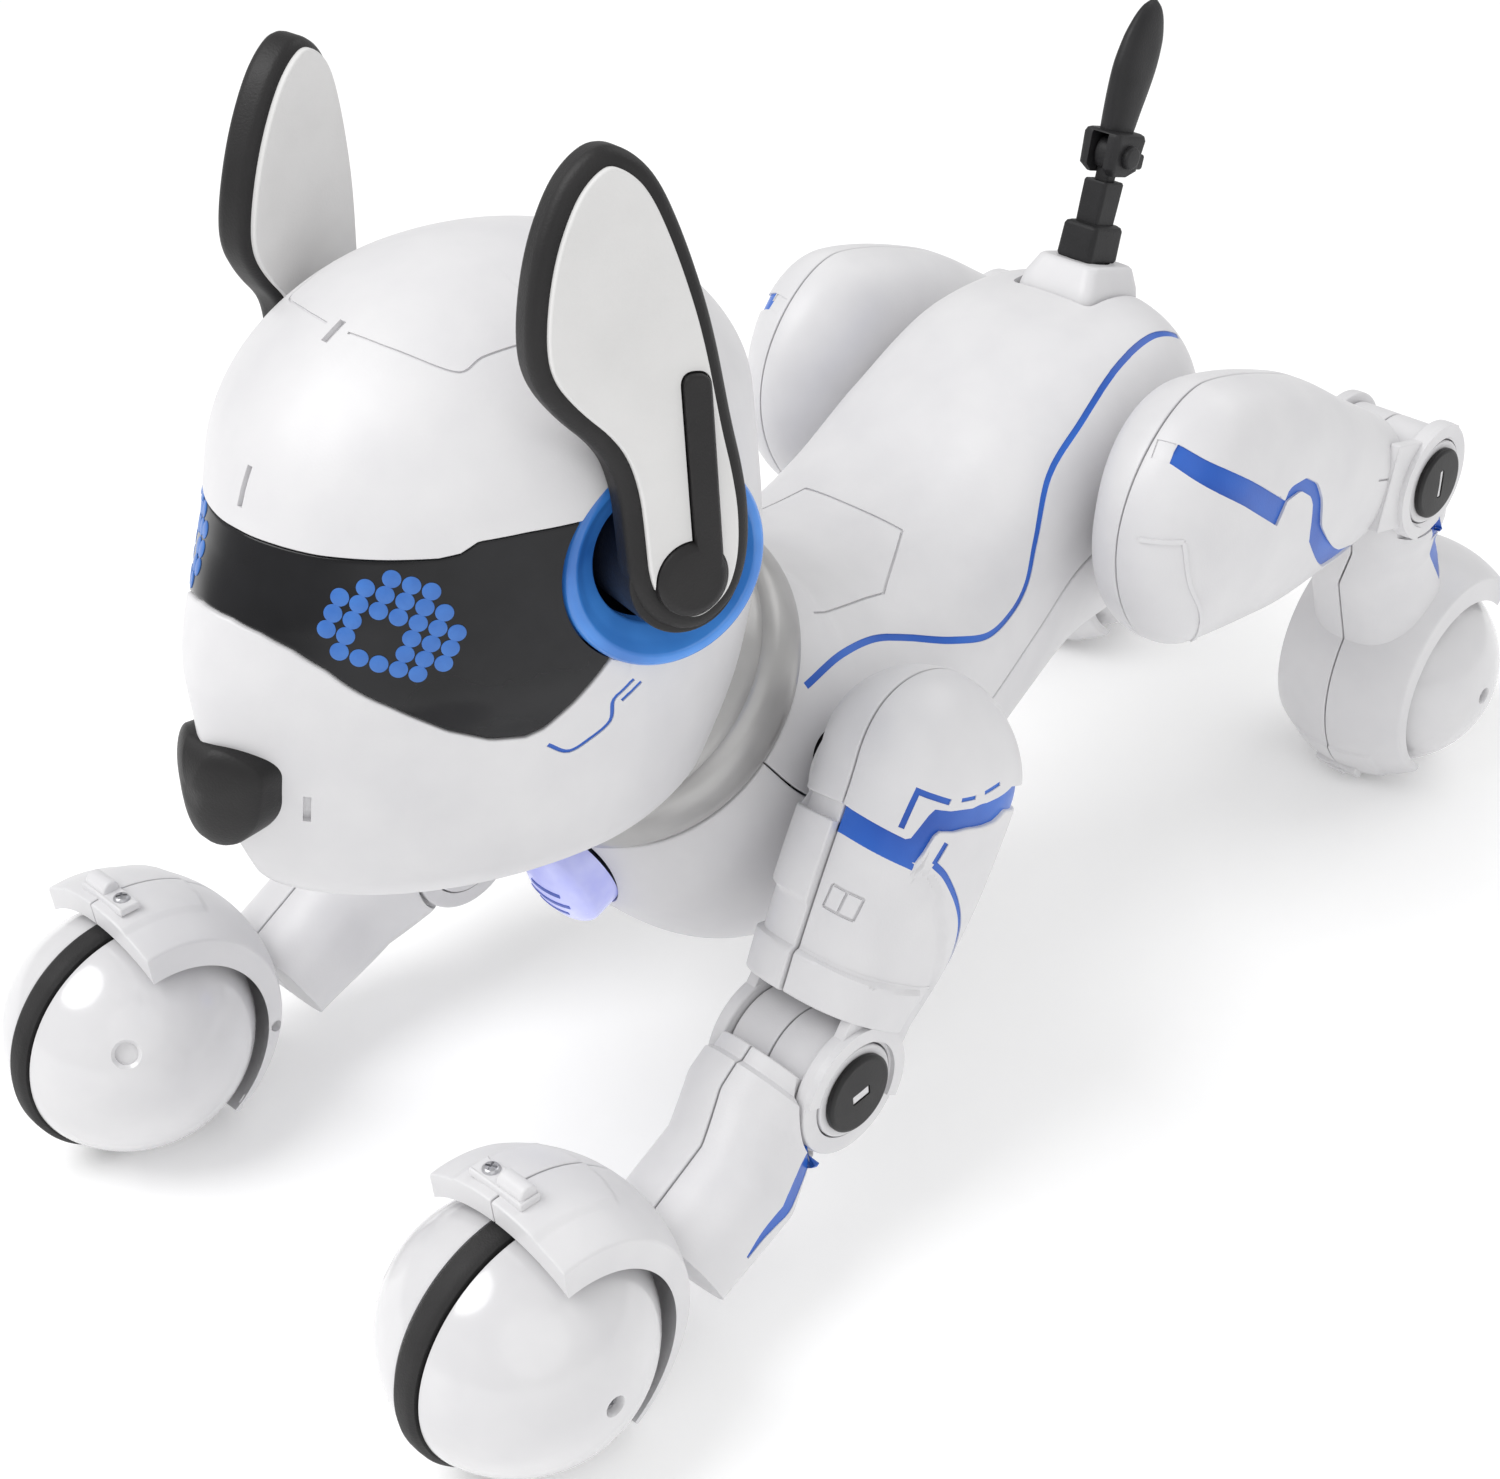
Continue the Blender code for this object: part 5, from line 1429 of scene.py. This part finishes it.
def head():
    top, low = face_edge(VISOR_TOP), face_edge(VISOR_LOW)

    def beside_visor(edge, gap, behind):
        """An edge of the skull or jaw: along the visor in front, level behind the ears."""
        return lambda turn: np.where((turn >= 8) & (turn <= 172), edge(turn) + gap, behind)

    skull = shell(HEAD, (-90, 270), beside_visor(top, 0.25, 127.3), HEAD[-1][0],
                  (0, HEAD_DOMES[1]), step=0.95)
    jaw = shell(HEAD, (-90, 270), HEAD[0][0], beside_visor(low, -0.25, 127.0),
                (HEAD_DOMES[0], 0), step=0.95)
    visor = shell(HEAD, VISOR_TURNS, low, top, grow=-0.35, wall=1.3)
    neck = axis_frame(NECK_CENTRE, NECK_AXIS, (0, 1, 0))
    below = block((120, 120, 90), shifted(neck, 0, 0, COLLAR_HIGH + 0.5 - 45), 0.1)
    opening = drum(RING_LIP_R + 0.3, -16, 10, axis_frame(EAR_CENTRE, EAR_NORMAL), 96)
    openings = [opening, mirrored(opening)]
    skull_lines, jaw_lines = Lines(skull), Lines(jaw)
    for points, width in BROW_SLOTS:
        skull_lines.groove(points, width, 0.9)
    for flip in (list, flipped_x):
        skull_lines.groove(flip(CREASE), 0.4, 0.35, smooth=True)
        jaw_lines.inlay(flip(CHEEK_LINE), 0.75, 0.5)
        jaw_lines.inlay(flip(CHEEK_DASH), 0.75, 0.5)
        jaw_lines.groove(flip(NOSTRIL), 1.2, 1.0)
    skull = combined(skull, skull_lines.cuts + openings)
    jaw = combined(jaw, [below] + jaw_lines.cuts + openings)
    visor = combined(visor, openings)
    add("face_skin", skull, "white_shell", "head", ["face_shell"])
    add("jaw_skin", jaw, "white_shell", "head", ["jaw_shell"])
    add("cheek_lines", joined(jaw_lines.inserts), "blue_light", "head")
    add("visor_glass", visor, "smoked_visor", "head", ["visor"])
    surface = Surface(visor)
    add("eye_lamps_left", eye(surface, 0.0), "eye_blue", "head")
    add("eye_lamps_right", mirrored(eye(surface, RIGHT_EYE_SHIFT)), "eye_blue", "head")


# Which columns of each row of lamps are lit
EYE_ROWS = (
    (1, 2, 3), (0, 1, 2, 3, 4), (-1, 0, 1, 2, 3, 4, 5), (-1, 0, 3, 4, 5), (-1, 0, 3, 4, 5),
    (0, 1, 2, 3, 4),
)
EYE_ORIGIN = np.array((20.3, 11.0, 141.6))
EYE_COLUMN = np.array((1.85, 2.0, -1.1))
EYE_ROW = np.array((-0.5, -1.05, -2.35))
RIGHT_EYE_SHIFT = -3.4


def eye(surface, shift):
    """One ring of round lamps on the left of the visor, moved by some columns."""
    dots = []
    for row, columns in enumerate(EYE_ROWS):
        for column in columns:
            centre = EYE_ORIGIN + EYE_COLUMN * (column + shift) + EYE_ROW * row
            places, normals = surface.snap([centre])
            profile = ((0, -0.4), (1.36, -0.4), (1.36, 0.08), (1.24, 0.14), (0, 0.18))
            dots.append(turned(profile, axis_frame(places[0], normals[0]), 28))
    return joined(dots)


NOSE_CORNERS = ((5.5, 8.2), (10.4, 5.4), (8.4, -4.5), (4.2, -9.4))


def nose():
    """A rounded triangle, wider above, that bulges out of the muzzle along its middle."""
    corners = [(-x, y) for x, y in NOSE_CORNERS[1::-1]] + list(NOSE_CORNERS)
    corners += [(-x, y) for x, y in NOSE_CORNERS[:1:-1]]
    outline = rounded(corners, 5.0, closed=True, steps=8)
    rings = [(0.93, -7.0), (0.98, -2.0), (1.0, 0.6)]
    for angle in np.radians(np.linspace(12, 84, 12)):
        rings.append((math.cos(angle) ** 0.75, 0.6 + 3.0 * math.sin(angle) ** 1.2))
    loops = []
    for share, height in rings:
        loop = [(x * share, y * share) for x, y in outline]
        loops.append([
            (x, y, height - 0.014 * x**2 + 2.6 * math.exp(-(x / 7.0) ** 2)) for x, y in loop
        ])
    shape = lofted(loops, axis_frame((0, -5.2, 104.9), (0, -1, 0.02), (0, 0, 1)))
    add("nose_tip", shape, "black_rim", "head", ["nose"], sharp=60)


# ---------------------------------------------------------------- ears


def ear_outline(distance):
    """(back, up) points round the ear, inset from its edge."""
    points = [(front, up) for up, front, _ in EAR_OUTLINE]
    points += [(rear, up) for up, _, rear in EAR_OUTLINE[-2:0:-1]]
    line = np.array(points, float)
    for _ in range(3):
        after = np.roll(line, -1, axis=0)
        pairs = [line * 0.75 + after * 0.25, line * 0.25 + after * 0.75]
        line = np.stack(pairs, 1).reshape(-1, 2)
    length = np.linalg.norm(np.roll(line, -1, axis=0) - line, axis=1)
    line = line[length > 0.05]
    return inset(line, distance) if distance else line


def ear():
    """The black core with its hub, disc and bar, and the white panels on its two faces."""
    place = axis_frame(EAR_CENTRE, EAR_NORMAL)
    hub = drum(EAR_HUB_R, -17, -1, place, 64, 0.5)
    disc_profile = ((0, -1), (EAR_DISC_R, -1), (EAR_DISC_R, 1.3), (EAR_DISC_R - 1.0, 1.9), (0, 2.0))
    disc = turned(disc_profile, place, 64, 0.4)
    bar_outline = rounded([(0.7, 0), (4.9, 0), (5.4, 30), (1.1, 30.6)], 2.0, closed=True, steps=8)
    bar = plate(bar_outline, place, -1, 1.9, 0.6)
    core = united(plate(ear_outline(0.0), place, -EAR_THICKNESS, 0.1, 1.9), [hub, disc, bar])
    add_pair("ear_core_shape_SIDE", core, "black_rim", "ear_SIDE", ["ear_core_SIDE"])
    disc_hole = drum(EAR_DISC_R + 0.25, -2, 4, place)
    bar_hole = plate(inset(bar_outline, -0.3), place, -2, 4, 0.05)
    panel = combined(plate(ear_outline(2.6), place, -0.3, 1.0, 0.45), [disc_hole, bar_hole])
    add_pair("ear_face_SIDE", panel, "ear_panel", "ear_SIDE", ["ear_panel_outer_SIDE"])
    upper = [point for point in ear_outline(1.3) if point[1] > 15]
    inner = plate(upper, place, -EAR_THICKNESS - 0.9, -EAR_THICKNESS + 0.4, 0.4)
    add_pair("ear_back_SIDE", inner, "ear_panel", "ear_SIDE", ["ear_panel_inner_SIDE"])


def ear_ring_painted_glow():
    """The blue ring that the ear turns in; its emission in ring_blue is a painted glow, as no lamp is
    in it.
    """
    place = axis_frame(EAR_CENTRE, EAR_NORMAL)
    lip = ((0, -14), (0, -8.2), (0.7, -7.2), (2.0, -7.0), (3.6, -8.6))
    lip = [(RING_LIP_R - inwards, height) for inwards, height in lip]
    ring = turned([(10.5, -14)] + lip + [(10.5, -10.4)], place, 112, 0.5, ring=True)
    add_pair("ear_light_SIDE", ring, "ring_blue", "head", ["ear_ring_SIDE"])


# ---------------------------------------------------------------- the CAD nodes that stay


CAD_FINISHES = {
    "battery_pack": "black_plastic", "main_board": "circuit_board", "speaker": "speaker_steel",
    "power_switch": "black_plastic", "front_drive": "black_plastic",
    "rear_drive": "black_plastic", "neck_post": "black_plastic", "eye_board": "circuit_board",
}


def dress_cad_nodes():
    for node, finish in CAD_FINISHES.items():
        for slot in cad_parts[node].material_slots:
            slot.material = MATERIALS[finish]


# ---------------------------------------------------------------- stage


def floor():
    """A plain pale floor that gives back a little light of its own."""
    mesh = bpy.data.meshes.new("floor")
    corners = [(x, y, 0) for x, y in ((-1, -1), (1, -1), (1, 1), (-1, 1))]
    mesh.from_pydata([Vector(corner) * FLOOR_REACH for corner in corners], [], [(0, 1, 2, 3)])
    obj = new_object("floor", mesh)
    made, tree, shader = node_material("pale_floor")
    where = tree.nodes.new("ShaderNodeTexCoord").outputs["Object"]
    greys = ((0.3, (0.93, 0.93, 0.93)), (0.7, (0.95, 0.95, 0.95)))
    shade = ramp(tree, noise_at(tree, where, 6, 2), greys)
    tree.links.new(shade, shader.inputs["Base Color"])
    shader.inputs["Roughness"].default_value = 0.9
    shader.inputs["Specular IOR Level"].default_value = 0.1
    shader.inputs["Emission Color"].default_value = (1, 1, 1, 1)
    shader.inputs["Emission Strength"].default_value = 0.16
    mesh.materials.append(made)


def studio_light():
    """An even white surround and three soft lamps aimed at the dog."""
    scene = bpy.context.scene
    scene.world = scene.world or bpy.data.worlds.new("World")
    scene.world.use_nodes = True
    background = scene.world.node_tree.nodes["Background"]
    background.inputs["Color"].default_value = (1, 1, 1, 1)
    background.inputs["Strength"].default_value = 0.6
    for name, place, size, power in LAMPS:
        lamp = bpy.data.lights.new(name, "AREA")
        lamp.shape = "DISK"
        lamp.size = size
        lamp.energy = power
        obj = new_object(name, lamp)
        obj.location = place
        obj.rotation_euler = (LAMP_AIM - Vector(place)).to_track_quat("-Z", "Y").to_euler()
    scene.view_settings.view_transform = "Standard"


def camera():
    """Looks from above, in front of the dog and to its left, almost level."""
    lens = bpy.data.cameras.new("camera")
    lens.sensor_width = 36.0
    lens.lens = 60.0
    lens.clip_start = 0.01
    obj = new_object("camera", lens)
    turn, rise, roll = (math.radians(angle) for angle in (CAMERA_TURN, CAMERA_RISE, CAMERA_ROLL))
    level = Vector((math.sin(turn), -math.cos(turn), 0)) * math.cos(rise)
    back = level + Vector((0, 0, math.sin(rise)))
    place = Vector(CAMERA_PLACE) * MM
    obj.matrix_world = axis_frame(place, back) @ Matrix.Rotation(roll, 4, "Z")
    bpy.context.scene.camera = obj


camera()
floor()
studio_light()
foot("front", FRONT_WHEEL)
foot("rear", REAR_WHEEL)
front_thigh()
rear_thigh()
front_shin()
rear_shin()
joint_disc("front", ELBOW, (4.2, 2.0), 0.1)
joint_disc("rear", KNEE, (1.3, 6.0), 0.0)
hood_clips()
rear_latches()
back()
belly()
battery_lid()
chest_lens()
collar()
tail()
head()
nose()
ear()
ear_ring_painted_glow()
dress_cad_nodes()
